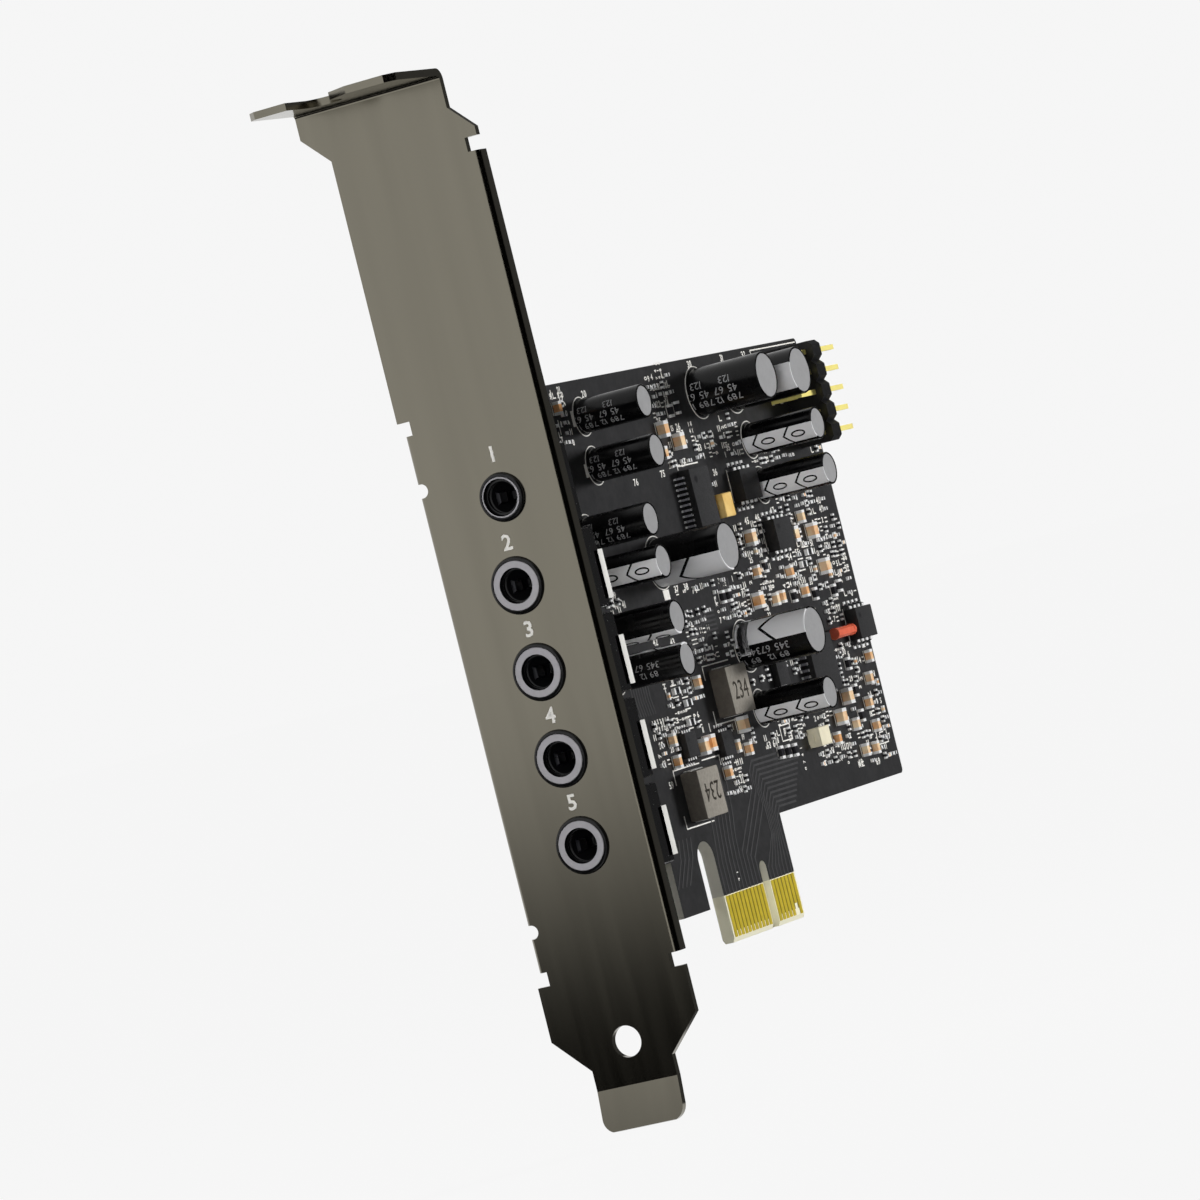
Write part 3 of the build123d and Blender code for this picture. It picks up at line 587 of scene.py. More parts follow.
class Digits:
    """Plain numbers as small solid shapes, drawn once and copied."""

    def __init__(self, weight: float, thickness: float, bands: int = 1) -> None:
        """Sets how bold and how thick the numbers are.

        Args:
            weight: How far a stroke is widened, as a share of the height.
            thickness: The print's thickness in millimetres.
            bands: How many level bands each sign is cut into, so that it can bend.
        """
        self.weight = weight
        self.thickness = thickness
        self.bands = bands
        self.known: dict[str, tuple[list[Vector], list[list[int]], float]] = {}

    def _shape(self, sign: str) -> tuple[list[Vector], list[list[int]], float]:
        """One sign at a height of 1, flat on its front.

        Args:
            sign: The sign.

        Returns:
            Its points, its faces and its width.
        """
        if sign in self.known:
            return self.known[sign]
        data = bpy.data.curves.new(f"number_{ord(sign)}", "FONT")
        data.body = sign
        data.size = 1.38
        data.resolution_u = 2
        data.offset = self.weight
        data.extrude = 0.5
        holder = put_in_scene(data.name, data)
        graph = bpy.context.evaluated_depsgraph_get()
        mesh = bpy.data.meshes.new_from_object(holder.evaluated_get(graph))
        shape = bmesh.new()
        shape.from_mesh(mesh)
        # Level cuts through the sign let it bend round a sleeve.
        for step in range(1, self.bands):
            parts = list(shape.verts) + list(shape.edges) + list(shape.faces)
            bmesh.ops.bisect_plane(shape, geom=parts, plane_co=(0, step / self.bands, 0),
                                   plane_no=(0, 1, 0))
        shape.verts.index_update()
        points = [v.co.copy() for v in shape.verts]
        faces = [[v.index for v in p.verts] for p in shape.faces]
        shape.free()
        left = min(p.x for p in points)
        for point in points:
            point.x -= left
        width = max(p.x for p in points)
        bpy.data.objects.remove(holder)
        bpy.data.meshes.remove(mesh)
        bpy.data.curves.remove(data)
        self.known[sign] = (points, faces, width)
        return self.known[sign]

    def write(
        self,
        draft: Draft,
        text: str,
        height: float,
        lay: Lay,
        material: int = 0,
        turn: float = 0.0,
    ) -> None:
        """Writes a number with its middle at the origin of a surface.

        Args:
            draft: The drawing to add to.
            text: The number.
            height: Its height in millimetres.
            lay: Gives a point from (lift, right, up) on the surface.
            material: The number of its material.
            turn: How far it is turned on the surface, in degrees.
        """
        gap = 0.14
        shapes = [self._shape(sign) if sign != " " else ([], [], 0.4) for sign in text]
        total = sum(width for _, _, width in shapes) + gap * (len(shapes) - 1)
        start = -total / 2
        cos, sin = math.cos(math.radians(turn)), math.sin(math.radians(turn))
        for points, faces, width in shapes:
            made = []
            for point in points:
                right = (start + point.x) * height
                up = (point.y - 0.5) * height
                lift = (point.z + 0.5) * self.thickness
                made.append(draft.shape.verts.new(
                    lay(lift, right * cos - up * sin, right * sin + up * cos)))
            for corners in faces:
                draft.shape.faces.new([made[i] for i in corners]).material_index = material
            start += width + gap


def on_board(x: float, z: float) -> Lay:
    """The component side round (x, z), as a function from (lift, right, up) to a point."""
    return lambda lift, right, up: Vector((x + right, BOARD_Y - lift, z + up))


def on_back(lift: float, right: float, up: float) -> Vector:
    """A point on the board's solder side."""
    return Vector((right, BACK_Y + lift, up))


def on_plate(y: float, z: float) -> Lay:
    """The bracket's outer face round (y, z), as a function from (lift, right, up) to a point."""
    return lambda lift, right, up: Vector((-lift, y - right, z + up))


@dataclass(frozen=True)
class RoundPart:
    """Where one round capacitor stands, and how large its sleeve is."""

    number: int
    x: float
    z: float
    radius: float
    top: float

    @property
    def tag(self) -> str:
        """The start of its pieces' and its nodes' names."""
        return f"capacitor_{self.number:02d}"

    @property
    def lead_gap(self) -> float:
        """How far apart its leads are."""
        return 2.5 if self.radius > 2.5 else 1.5


def round_parts() -> list[RoundPart]:
    """Reads the round capacitors from the CAD model.

    Returns:
        The capacitors, in the order of their numbers.
    """
    parts = []
    for number in range(1, CAPACITOR_COUNT + 1):
        low, high = node_box(f"capacitor_{number:02d}_sleeve")
        x, z = middle_of((low, high))
        parts.append(RoundPart(number, x, z, (high.x - low.x) / 2, low.y))
    return parts


def on_sleeve(part: RoundPart, facing: float, along: float, turned: bool = False) -> Lay:
    """A capacitor's sleeve as a surface to print on.

    Args:
        part: The capacitor.
        facing: The direction that the print's middle faces, in degrees from X towards Z.
        along: The Y of the print's middle.
        turned: Whether the print reads from the top down, upside down.

    Returns:
        A function from (lift, right, up) to a point.
    """
    sign = -1 if turned else 1

    def lay(lift: float, right: float, up: float) -> Vector:
        """Bends the print round the sleeve.

        Args:
            lift: How far the point is off the sleeve.
            right: Its place to the right of the print's middle.
            up: Its place above it.

        Returns:
            The point.
        """
        turn = math.radians(facing) - sign * up / part.radius
        reach = part.radius + lift
        return Vector((part.x + reach * math.cos(turn), along - sign * right,
                       part.z + reach * math.sin(turn)))

    return lay


def stroke(
    draft: Draft,
    points: Sequence[Flat],
    width: float,
    lay: Lay,
    lift: float = 0.03,
    step: float = 99.0,
) -> None:
    """Draws a line of even width on a surface.

    Args:
        draft: The drawing to add to.
        points: The line's (right, up) points.
        width: The line's width.
        lay: Gives a point from (lift, right, up) on the surface.
        lift: The line's thickness.
        step: The longest piece that stays straight.
    """
    for index, ((u0, v0), (u1, v1)) in enumerate(zip(points, points[1:])):
        length = math.hypot(u1 - u0, v1 - v0)
        if length < 1e-6:
            continue
        # Every second length is a little thinner, so that no two ends lie in one plane.
        top = lift * (1.0 - 0.1 * (index % 2))
        du, dv = (u1 - u0) / length, (v1 - v0) / length
        pieces = max(1, math.ceil(length / step))
        cap = width / 2
        for piece in range(pieces):
            a = length * piece / pieces - (cap if piece == 0 else 0)
            b = length * (piece + 1) / pieces + (cap if piece == pieces - 1 else 0)
            outline = [(u0 + du * t - dv * s * width / 2, v0 + dv * t + du * s * width / 2)
                       for t, s in ((a, -1), (b, -1), (b, 1), (a, 1))]
            draft.prism(outline, lay, 0.0, top)


def patch(
    draft: Draft,
    low: Flat,
    high: Flat,
    lay: Lay,
    lift: float = 0.03,
    material: int = 0,
) -> None:
    """Fills a rectangle on a surface.

    Args:
        draft: The drawing to add to.
        low: Its lowest (right, up) corner.
        high: Its highest corner.
        lay: Gives a point from (lift, right, up) on the surface.
        lift: Its thickness.
        material: The number of its material.
    """
    outline = [(low[0], low[1]), (high[0], low[1]), (high[0], high[1]), (low[0], high[1])]
    draft.prism(outline, lay, 0.0, lift, material)


def side_faces(draft: Draft, material: int) -> None:
    """Gives a body's faces that stand up from the board a darker finish of their own, as painted
    shade.

    Args:
        draft: The drawing of the body, whose faces have the first material so far.
        material: The number of the material that they get.
    """
    for one in draft.shape.faces:
        one.normal_update()
        if one.material_index == 0 and abs(one.normal.y) < 0.5:
            one.material_index = material


@dataclass
class Sockets:
    """The five round sockets: bodies, noses, rings, contacts and pale carriers.

    The top one has a narrower nose, a wider mouth and no carrier.
    """

    sides: int = 96
    sheet: float = 0.86
    bore: float = 1.8
    nose: float = 3.23
    top_nose: float = 2.74
    mouth: float = 1.95
    top_mouth: float = 2.05
    edge: float = 0.35
    groove: float = 0.5
    bevel: float = 0.06
    lip: float = 0.05
    # Each contact's start, end, lower edge, upper edge and thickness.
    blades: tuple[tuple[float, float, float, float, float], ...] = (
        (1.6, 3.4, -0.75, 0.75, 0.5), (5.0, 8.6, -0.6, 0.6, 0.45),
    )

    def build(self) -> None:
        """Makes every socket."""
        for number in range(1, SOCKET_COUNT + 1):
            self._housing(number)
            self._ring(number)
            self._contact(number)
            if number > 1:
                self._carrier(number)

    @staticmethod
    def _centre(number: int) -> tuple[float, float, float, float]:
        """A socket's Y, its Z, its nose's front and its ring's radius."""
        low, high = node_box(f"socket_{number}_ring")
        return (low.y + high.y) / 2, (low.z + high.z) / 2, low.x, (high.y - low.y) / 2

    def _housing(self, number: int) -> None:
        """The moulded body with a rounded nose.

        Args:
            number: The socket, from the top.
        """
        node = f"socket_{number}_housing"
        y, z, front, ring = self._centre(number)
        low, high = node_box(node)
        nose = self.top_nose if number == 1 else self.nose
        edge, back = self.edge, front + self.groove
        profile = [(ring, back), (ring, front + self.bevel), (ring + self.bevel, front)]
        for step in range(7):
            turn = math.pi / 2 * step / 6
            profile.append((nose - edge + edge * math.sin(turn),
                            front + edge - edge * math.cos(turn)))
        profile += [(nose, self.sheet), (self.bore, self.sheet), (self.bore, back)]
        draft = Draft()
        axis = along_x(y, z)
        draft.lathe(profile, axis, self.sides, closed=True)
        # The bore's wall is painted near black as shade inside the hole.
        hole = [(self.bore, self.sheet), (self.bore, high.x)]
        draft.lathe(hole, axis, self.sides, materials=[1])
        self._body(draft, (y, z), (low.y, low.z), (BOARD_Y, high.z), high.x)
        name = f"socket_{number}_body"
        add_piece(name, draft.mesh(name), [NOSE_PLASTIC, MOUTH_SHADE], [node])

    def _body(self, draft: Draft, centre: Flat, low: Flat, high: Flat, length: float) -> None:
        """The square body round the bore, as four walls that meet the bore's rim.

        Args:
            draft: The drawing to add to.
            centre: The bore's (y, z).
            low: The lowest (y, z) corner of its cross-section.
            high: The highest corner.
            length: Where the body ends along X.
        """
        y, z = centre
        turns = [2 * math.pi * step / self.sides for step in range(self.sides)]
        rims: list[list[Vector]] = []
        frames: list[list[Vector]] = []
        for x in (self.sheet, length):
            rims.append([Vector((x, y + self.bore * math.cos(turn),
                                 z + self.bore * math.sin(turn))) for turn in turns])
            ring = []
            for turn in turns:
                cos, sin = math.cos(turn), math.sin(turn)
                reach_y = ((high[0] - y) if cos > 0 else (y - low[0])) / max(abs(cos), 1e-9)
                reach_z = ((high[1] - z) if sin > 0 else (z - low[1])) / max(abs(sin), 1e-9)
                reach = min(reach_y, reach_z)
                ring.append(Vector((x, y + reach * cos, z + reach * sin)))
            frames.append(ring)
        for step in range(self.sides):
            after = (step + 1) % self.sides
            for one, two in ((rims[0], frames[0]), (frames[0], frames[1]), (frames[1], rims[1])):
                draft.face([one[step], one[after], two[after], two[step]])

    def _ring(self, number: int) -> None:
        """The pale ring in the nose, with a softly rounded lip.

        Args:
            number: The socket, from the top.
        """
        y, z, front, outer = self._centre(number)
        inner = self.top_mouth if number == 1 else self.mouth
        lip, back = self.lip, front + self.groove - 0.02
        profile = [(outer, back), (outer, front + lip), (outer - lip, front),
                   (inner + 1.6 * lip, front), (inner, front + 2 * lip), (inner, back)]
        draft = Draft()
        # The ring's inner faces are painted near black as shade in the socket's mouth.
        draft.lathe(profile, along_x(y, z), self.sides, materials=[0, 0, 0, 1, 1, 1],
                    closed=True)
        name = f"socket_{number}_ring"
        add_piece(f"{name}_turned", draft.mesh(name), [GREY_RING, MOUTH_SHADE],
                  [name])

    def _contact(self, number: int) -> None:
        """The sprung contact that shows inside the bore, and the tip contact behind it.

        Args:
            number: The socket, from the top.
        """
        y, z, _, _ = self._centre(number)
        draft = Draft()
        wall = self.bore - 0.06
        for start, end, low, high, inward in self.blades:
            turn_low, turn_high = math.asin(low / wall), math.asin(high / wall)
            outline = []
            for reach, turns in ((wall, (turn_low, turn_high)),
                                 (wall - inward, (turn_high, turn_low))):
                outline += [(reach * math.cos(t), reach * math.sin(t)) for t in turns]
            draft.prism(outline, along_x(y, z), start, end)
        name = f"socket_{number}_contact"
        add_piece(name, draft.mesh(name), [DARK_METAL_AND_LEG_SHADE])

    @staticmethod
    def _carrier(number: int) -> None:
        """The pale moulded block behind the socket.

        Args:
            number: The socket, from the top.
        """
        node = f"socket_{number}_spring_carrier"
        low, high = node_box(node)
        draft = Draft()
        draft.block(tuple(low), tuple(high), edge=0.07)
        name = f"{node}_block"
        add_piece(name, draft.mesh(name), [PALE_PLASTIC], [node])


class Print(Enum):
    """What is printed on a capacitor's sleeve."""

    PLAIN = "plain"
    STRIPE = "stripe"
    WIDE = "wide"


# The marks of each kind of print as shares of the sleeve's height: an arrow's tip, and the
# middle of the oval after it or None.
MARKS: dict[Print, tuple[tuple[float, Optional[float]], ...]] = {
    Print.PLAIN: (), Print.STRIPE: ((0.12, 0.34), (0.57, 0.78)), Print.WIDE: ((0.36, None),),
}
# Rows of plain numbers that count up, on a dark sleeve and beside a stripe.
DARK_ROWS = ("123", "45 67", "789 12")
STRIPE_ROWS = ("345 67", "89 12")


@dataclass(frozen=True)
class CapacitorPrint:
    """One sleeve's print: a pale stripe, and rows of plain numbers beside it.

    The stripe faces facing and is span wide, and the rows face rows_facing, all in degrees
    from X towards Z.
    """

    kind: Print
    facing: float = 180.0
    span: float = 60.0
    rows: tuple[str, ...] = ()
    rows_facing: float = 190.0
    base_band: bool = False


@dataclass
class Capacitors:
    """Round capacitors in printed sleeves."""

    sides: int = 72
    shoulder: float = 0.14
    line: float = 0.22
    # An arrow's length beside an oval and on its own, and an oval's half length and width.
    arms: Flat = (0.9, 1.9)
    oval: Flat = (0.85, 0.36)
    # The heights above the board and the directions that the band at the foot spans.
    band_heights: Flat = (0.35, 1.75)
    band_facing: Flat = (100, 200)
    can_inset: float = 0.6
    lead_radius: float = 0.25
    lead_length: float = 1.2
    digits: Digits = field(default_factory=lambda: Digits(weight=0.0, thickness=0.04, bands=5))
    # Where the rows of numbers are printed, as shares of the sleeve's height.
    copies: tuple[float, ...] = (0.53, 0.12)
    prints: dict[int, CapacitorPrint] = field(default_factory=lambda: {
        1: CapacitorPrint(Print.PLAIN, 180, 0, DARK_ROWS),
        2: CapacitorPrint(Print.PLAIN, 180, 0, DARK_ROWS),
        3: CapacitorPrint(Print.PLAIN, 180, 0, DARK_ROWS),
        4: CapacitorPrint(Print.STRIPE, 197, 65),
        5: CapacitorPrint(Print.WIDE, 228, 84),
        6: CapacitorPrint(Print.STRIPE, 250, 55),
        7: CapacitorPrint(Print.STRIPE, 92, 50, STRIPE_ROWS),
        8: CapacitorPrint(Print.PLAIN, 180, 0, DARK_ROWS),
        9: CapacitorPrint(Print.WIDE, 188, 70),
        10: CapacitorPrint(Print.STRIPE, 201, 65),
        11: CapacitorPrint(Print.STRIPE, 201, 65),
        12: CapacitorPrint(Print.WIDE, 145, 72, STRIPE_ROWS, 211, base_band=True),
        13: CapacitorPrint(Print.STRIPE, 208, 56),
    })

    def build(self) -> None:
        """Makes every capacitor."""
        for part in round_parts():
            self._sleeve(part)
            self._can(part)

    def _sleeve(self, part: RoundPart) -> None:
        """A sleeve with the can's top in it, and its print.

        Args:
            part: The capacitor.
        """
        radius, top, shoulder = part.radius, part.top, self.shoulder
        profile = [(radius, BOARD_Y), (radius, top + shoulder)]
        for step in range(1, 6):
            turn = math.pi / 2 * step / 5
            profile.append((radius - shoulder + shoulder * math.cos(turn),
                            top + shoulder - shoulder * math.sin(turn)))
        inner = radius - 0.2
        profile += [(inner, top + 0.01), (inner - 0.04, top + 0.07), (0, top + 0.07)]
        draft = Draft()
        draft.lathe(profile, along_y(part.x, part.z), self.sides, materials=[0] * 8 + [1])
        spec = self.prints[part.number]
        self._stripe(draft, part, spec)
        self._marks(draft, part, spec)
        if spec.base_band:
            self._base_band(draft, part)
        self._rows(draft, part, spec)
        name = f"{part.tag}_sleeved"
        add_piece(name, draft.mesh(name), [SLEEVE, CAN, SLEEVE_PRINT, SLEEVE_INK],
                  [f"{part.tag}_sleeve"])

    @staticmethod
    def _stripe(draft: Draft, part: RoundPart, spec: CapacitorPrint) -> None:
        """Turns the sleeve's faces inside the stripe pale.

        Args:
            draft: The drawing with the sleeve.
            part: The capacitor.
            spec: Its print.
        """
        for one in draft.shape.faces:
            middle = one.calc_center_median()
            turn = math.degrees(math.atan2(middle.z - part.z, middle.x - part.x))
            apart = abs((turn - spec.facing + 180) % 360 - 180)
            if one.material_index == 0 and apart < spec.span / 2:
                one.material_index = 2

    def _marks(self, draft: Draft, part: RoundPart, spec: CapacitorPrint) -> None:
        """Arrow marks and ovals on the stripe.

        Args:
            draft: The drawing to add to.
            part: The capacitor.
            spec: Its print.
        """
        length = BOARD_Y - part.top
        half = part.radius * math.radians(spec.span) / 2
        lay = on_sleeve(part, spec.facing, BOARD_Y)
        for tip, oval in MARKS[spec.kind]:
            tip_at = length * tip
            arm = self.arms[0] if oval else self.arms[1]
            arrow = [(tip_at + arm, half), (tip_at, 0.0), (tip_at + arm, -half)]
            stroke(draft, arrow, self.line * (1.0 if oval else 1.5), lay, step=0.35)
            if oval:
                turns = [step * math.pi / 12 for step in range(25)]
                ring = [(length * oval + self.oval[0] * math.cos(turn),
                         self.oval[1] * math.sin(turn)) for turn in turns]
                stroke(draft, ring, self.line * 0.8, lay, step=0.4)

    def _rows(self, draft: Draft, part: RoundPart, spec: CapacitorPrint) -> None:
        """Plain numbers beside the stripe, once for each copy.

        Args:
            draft: The drawing to add to.
            part: The capacitor.
            spec: Its print.
        """
        length = BOARD_Y - part.top
        height = 0.8 if part.radius < 2.5 else 0.95
        for copy in self.copies:
            for index, text in enumerate(spec.rows):
                shift = (index - (len(spec.rows) - 1) / 2) * height * 1.3
                facing = spec.rows_facing + math.degrees(shift / part.radius)
                surface = on_sleeve(part, facing, BOARD_Y - length * copy, turned=True)
                self.digits.write(draft, text, height, surface, material=3)

    def _base_band(self, draft: Draft, part: RoundPart) -> None:
        """A pale band round the foot of the sleeve, on the side that the stripe faces.

        Args:
            draft: The drawing to add to.
            part: The capacitor.
        """
        lay = on_sleeve(part, 0.0, BOARD_Y)
        around = 2 * math.pi * part.radius
        steps = 48
        for step in range(steps):
            low, high = around * step / steps, around * (step + 1) / steps
            turn = (360 - math.degrees((low + high) / 2 / part.radius)) % 360
            if self.band_facing[0] < turn < self.band_facing[1]:
                patch(draft, (self.band_heights[0], low), (self.band_heights[1], high), lay,
                      material=2)

    def _can(self, part: RoundPart) -> None:
        """The can's leads at the back of the board, and its body inside the sleeve.

        Args:
            part: The capacitor.
        """
        draft = Draft()
        inner, top = part.radius - self.can_inset, part.top + 0.3
        draft.lathe([(0, BOARD_Y), (inner, BOARD_Y), (inner, top), (0, top)],
                    along_y(part.x, part.z), 24)
        wire, end = self.lead_radius, BACK_Y + self.lead_length
        lead = [(0, BOARD_Y), (wire, BOARD_Y), (wire, end - 0.1), (wire - 0.1, end), (0, end)]
        for side in (-1, 1):
            draft.lathe(lead, along_y(part.x, part.z + side * part.lead_gap / 2), 12)
        name = f"{part.tag}_can_turned"
        add_piece(name, draft.mesh(name), [TINNED], [f"{part.tag}_can"])


class GeometryTree(NodeTree):
    """A Geometry Nodes tree with named inputs, for what repeats."""

    def __init__(self, name: str) -> None:
        """Starts an empty tree.

        Args:
            name: The tree's name.
        """
        super().__init__(bpy.data.node_groups.new(name, "GeometryNodeTree"))
        for way in ("INPUT", "OUTPUT"):
            self.tree.interface.new_socket("Geometry", in_out=way,
                                           socket_type="NodeSocketGeometry")
        self.entry = self.tree.nodes.new("NodeGroupInput")
        self.exit = self.tree.nodes.new("NodeGroupOutput")

    def number(self, name: str, value: float) -> None:
        """Adds a number input.

        Args:
            name: The input's name.
            value: Its usual value.
        """
        socket = self.tree.interface.new_socket(name, in_out="INPUT",
                                                socket_type="NodeSocketFloat")
        socket.default_value = value

    def attribute(self, name: str, kind: str) -> Socket:
        """Reads a value that the points carry.

        Args:
            name: The value's name.
            kind: Its data type.

        Returns:
            The socket with the value.
        """
        made = self.node("GeometryNodeInputNamedAttribute", Name=name)
        made.data_type = kind
        return made.outputs[0]

    def material(self, geometry: Socket, finish: Finish) -> Socket:
        """Gives geometry its finish and returns it."""
        made = self.node("GeometryNodeSetMaterial", Geometry=geometry, Material=finish.material())
        return made.outputs["Geometry"]

    def result(self, geometry: Socket) -> None:
        """Sends geometry to the tree's output."""
        self.feed(self.exit.inputs["Geometry"], geometry)

    def apply(self, base: bpy.types.Mesh, values: dict[str, float], name: str) -> bpy.types.Mesh:
        """Runs the tree on a mesh and returns plain faces.

        Args:
            base: The mesh that the tree starts from.
            values: Its number inputs by name.
            name: The name of the new mesh.

        Returns:
            The result as a mesh of its own.
        """
        holder = put_in_scene(f"{name}_source", base)
        modifier = holder.modifiers.new("tree", "NODES")
        modifier.node_group = self.tree
        for item in self.tree.interface.items_tree:
            if item.item_type == "SOCKET" and item.in_out == "INPUT" and item.name in values:
                modifier[item.identifier] = values[item.name]
        graph = bpy.context.evaluated_depsgraph_get()
        graph.update()
        made = bpy.data.meshes.new_from_object(
            holder.evaluated_get(graph), preserve_all_data_layers=True, depsgraph=graph)
        holder.modifiers.remove(modifier)
        bpy.data.objects.remove(holder)
        made.name = name
        return made


class PointTree(GeometryTree):
    """A tree that puts one small shape on every point of a mesh."""

    def spread(self, shape: Socket) -> None:
        """Finishes the tree: the shape is sized and turned by the points' own values.

        Args:
            shape: The dressed shape at a size of 1.
        """
        points = self.node("GeometryNodeMeshToPoints", Mesh=self.entry.outputs["Geometry"])
        size = self.attribute("part_size", "FLOAT_VECTOR")
        angles = self.node("ShaderNodeCombineXYZ", Y=self.attribute("part_turn", "FLOAT"))
        spin = self.node("FunctionNodeEulerToRotation", Euler=angles.outputs[0])
        laid = self.node("GeometryNodeInstanceOnPoints", Points=points.outputs["Points"],
                         Instance=shape, Scale=size, Rotation=spin.outputs[0])
        real = self.node("GeometryNodeRealizeInstances", Geometry=laid.outputs["Instances"])
        self.result(real.outputs["Geometry"])

    def lay(self, places: Sequence[Spot], values: dict[str, float], name: str) -> bpy.types.Mesh:
        """Runs the tree on points that carry a size and a turn.

        Args:
            places: For each point its place in the row frame, its size and its turn about Y.
            values: The tree's number inputs by name.
            name: The name of the new mesh.

        Returns:
            The shapes as one mesh.
        """
        base = bpy.data.meshes.new(f"{name}_points")
        base.from_pydata([spot for spot, _, _ in places], [], [])
        base.attributes.new("part_size", "FLOAT_VECTOR", "POINT")
        base.attributes.new("part_turn", "FLOAT", "POINT")
        for index, (_, scale, angle) in enumerate(places):
            base.attributes["part_size"].data[index].vector = scale
            base.attributes["part_turn"].data[index].value = angle
        return self.apply(base, values, name)


def capped_part(name: str, finish: Finish) -> PointTree:
    """The tree of one part: a middle between two pale tin caps whose white is partly a painted
    highlight, 1 long along Z.

    Args:
        name: The tree's name.
        finish: The finish of the part's middle.

    Returns:
        The tree.
    """
    tree = PointTree(name)
    tree.number("End share", 0.22)
    share = tree.entry.outputs["End share"]
    size = tree.node("ShaderNodeCombineXYZ", X=0.95, Y=0.96,
                     Z=tree.math("MULTIPLY_ADD", share, -2.0, 1.0))
    body = tree.node("GeometryNodeMeshCube", Size=size.outputs[0])
    parts = tree.node("GeometryNodeJoinGeometry",
                      Geometry=tree.material(body.outputs["Mesh"], finish))
    end_size = tree.node("ShaderNodeCombineXYZ", X=1.0, Y=1.0, Z=share)
    end = tree.node("GeometryNodeMeshCube", Size=end_size.outputs[0])
    for sign in (-1.0, 1.0):
        shift = tree.node("ShaderNodeCombineXYZ",
                          Z=tree.math("MULTIPLY_ADD", share, -0.5 * sign, 0.5 * sign))
        moved = tree.node("GeometryNodeTransform", Geometry=end.outputs["Mesh"],
                          Translation=shift.outputs[0])
        tree.feed(parts.inputs["Geometry"], tree.material(moved.outputs["Geometry"], PALE_TIN_HIGHLIGHT))
    tree.spread(parts.outputs["Geometry"])
    return tree


@dataclass
class SmallParts:
    """Chip capacitors and resistors with pale tin end caps, whose white is partly a painted
    highlight.
    """

    end_share: float = 0.22
    kinds: dict[str, tuple[Finish, str]] = field(default_factory=lambda: {
        "ceramic_capacitors": (CERAMIC, "ceramic"),
        "small_ceramic_capacitors": (CERAMIC, "ceramic"),
        "resistors": (RESISTOR, "resistor_body"),
    })

    def build(self) -> None:
        """Makes all small parts, one piece for each kind."""
        for node, (finish, slot) in self.kinds.items():
            places: list[Spot] = []
            for low, high in solid_boxes(node):
                span = (high - low) * MM
                if span.x > span.z:
                    size, turn = (span.z, span.y, span.x), math.pi / 2
                else:
                    size, turn = (span.x, span.y, span.z), 0.0
                places.append((place(*((low + high) / 2)), size, turn))
            name = f"{node}_capped"
            tree = capped_part(f"{node}_tree", finish)
            mesh = tree.lay(places, {"End share": self.end_share}, name)
            add_piece(name, mesh, [], [node])


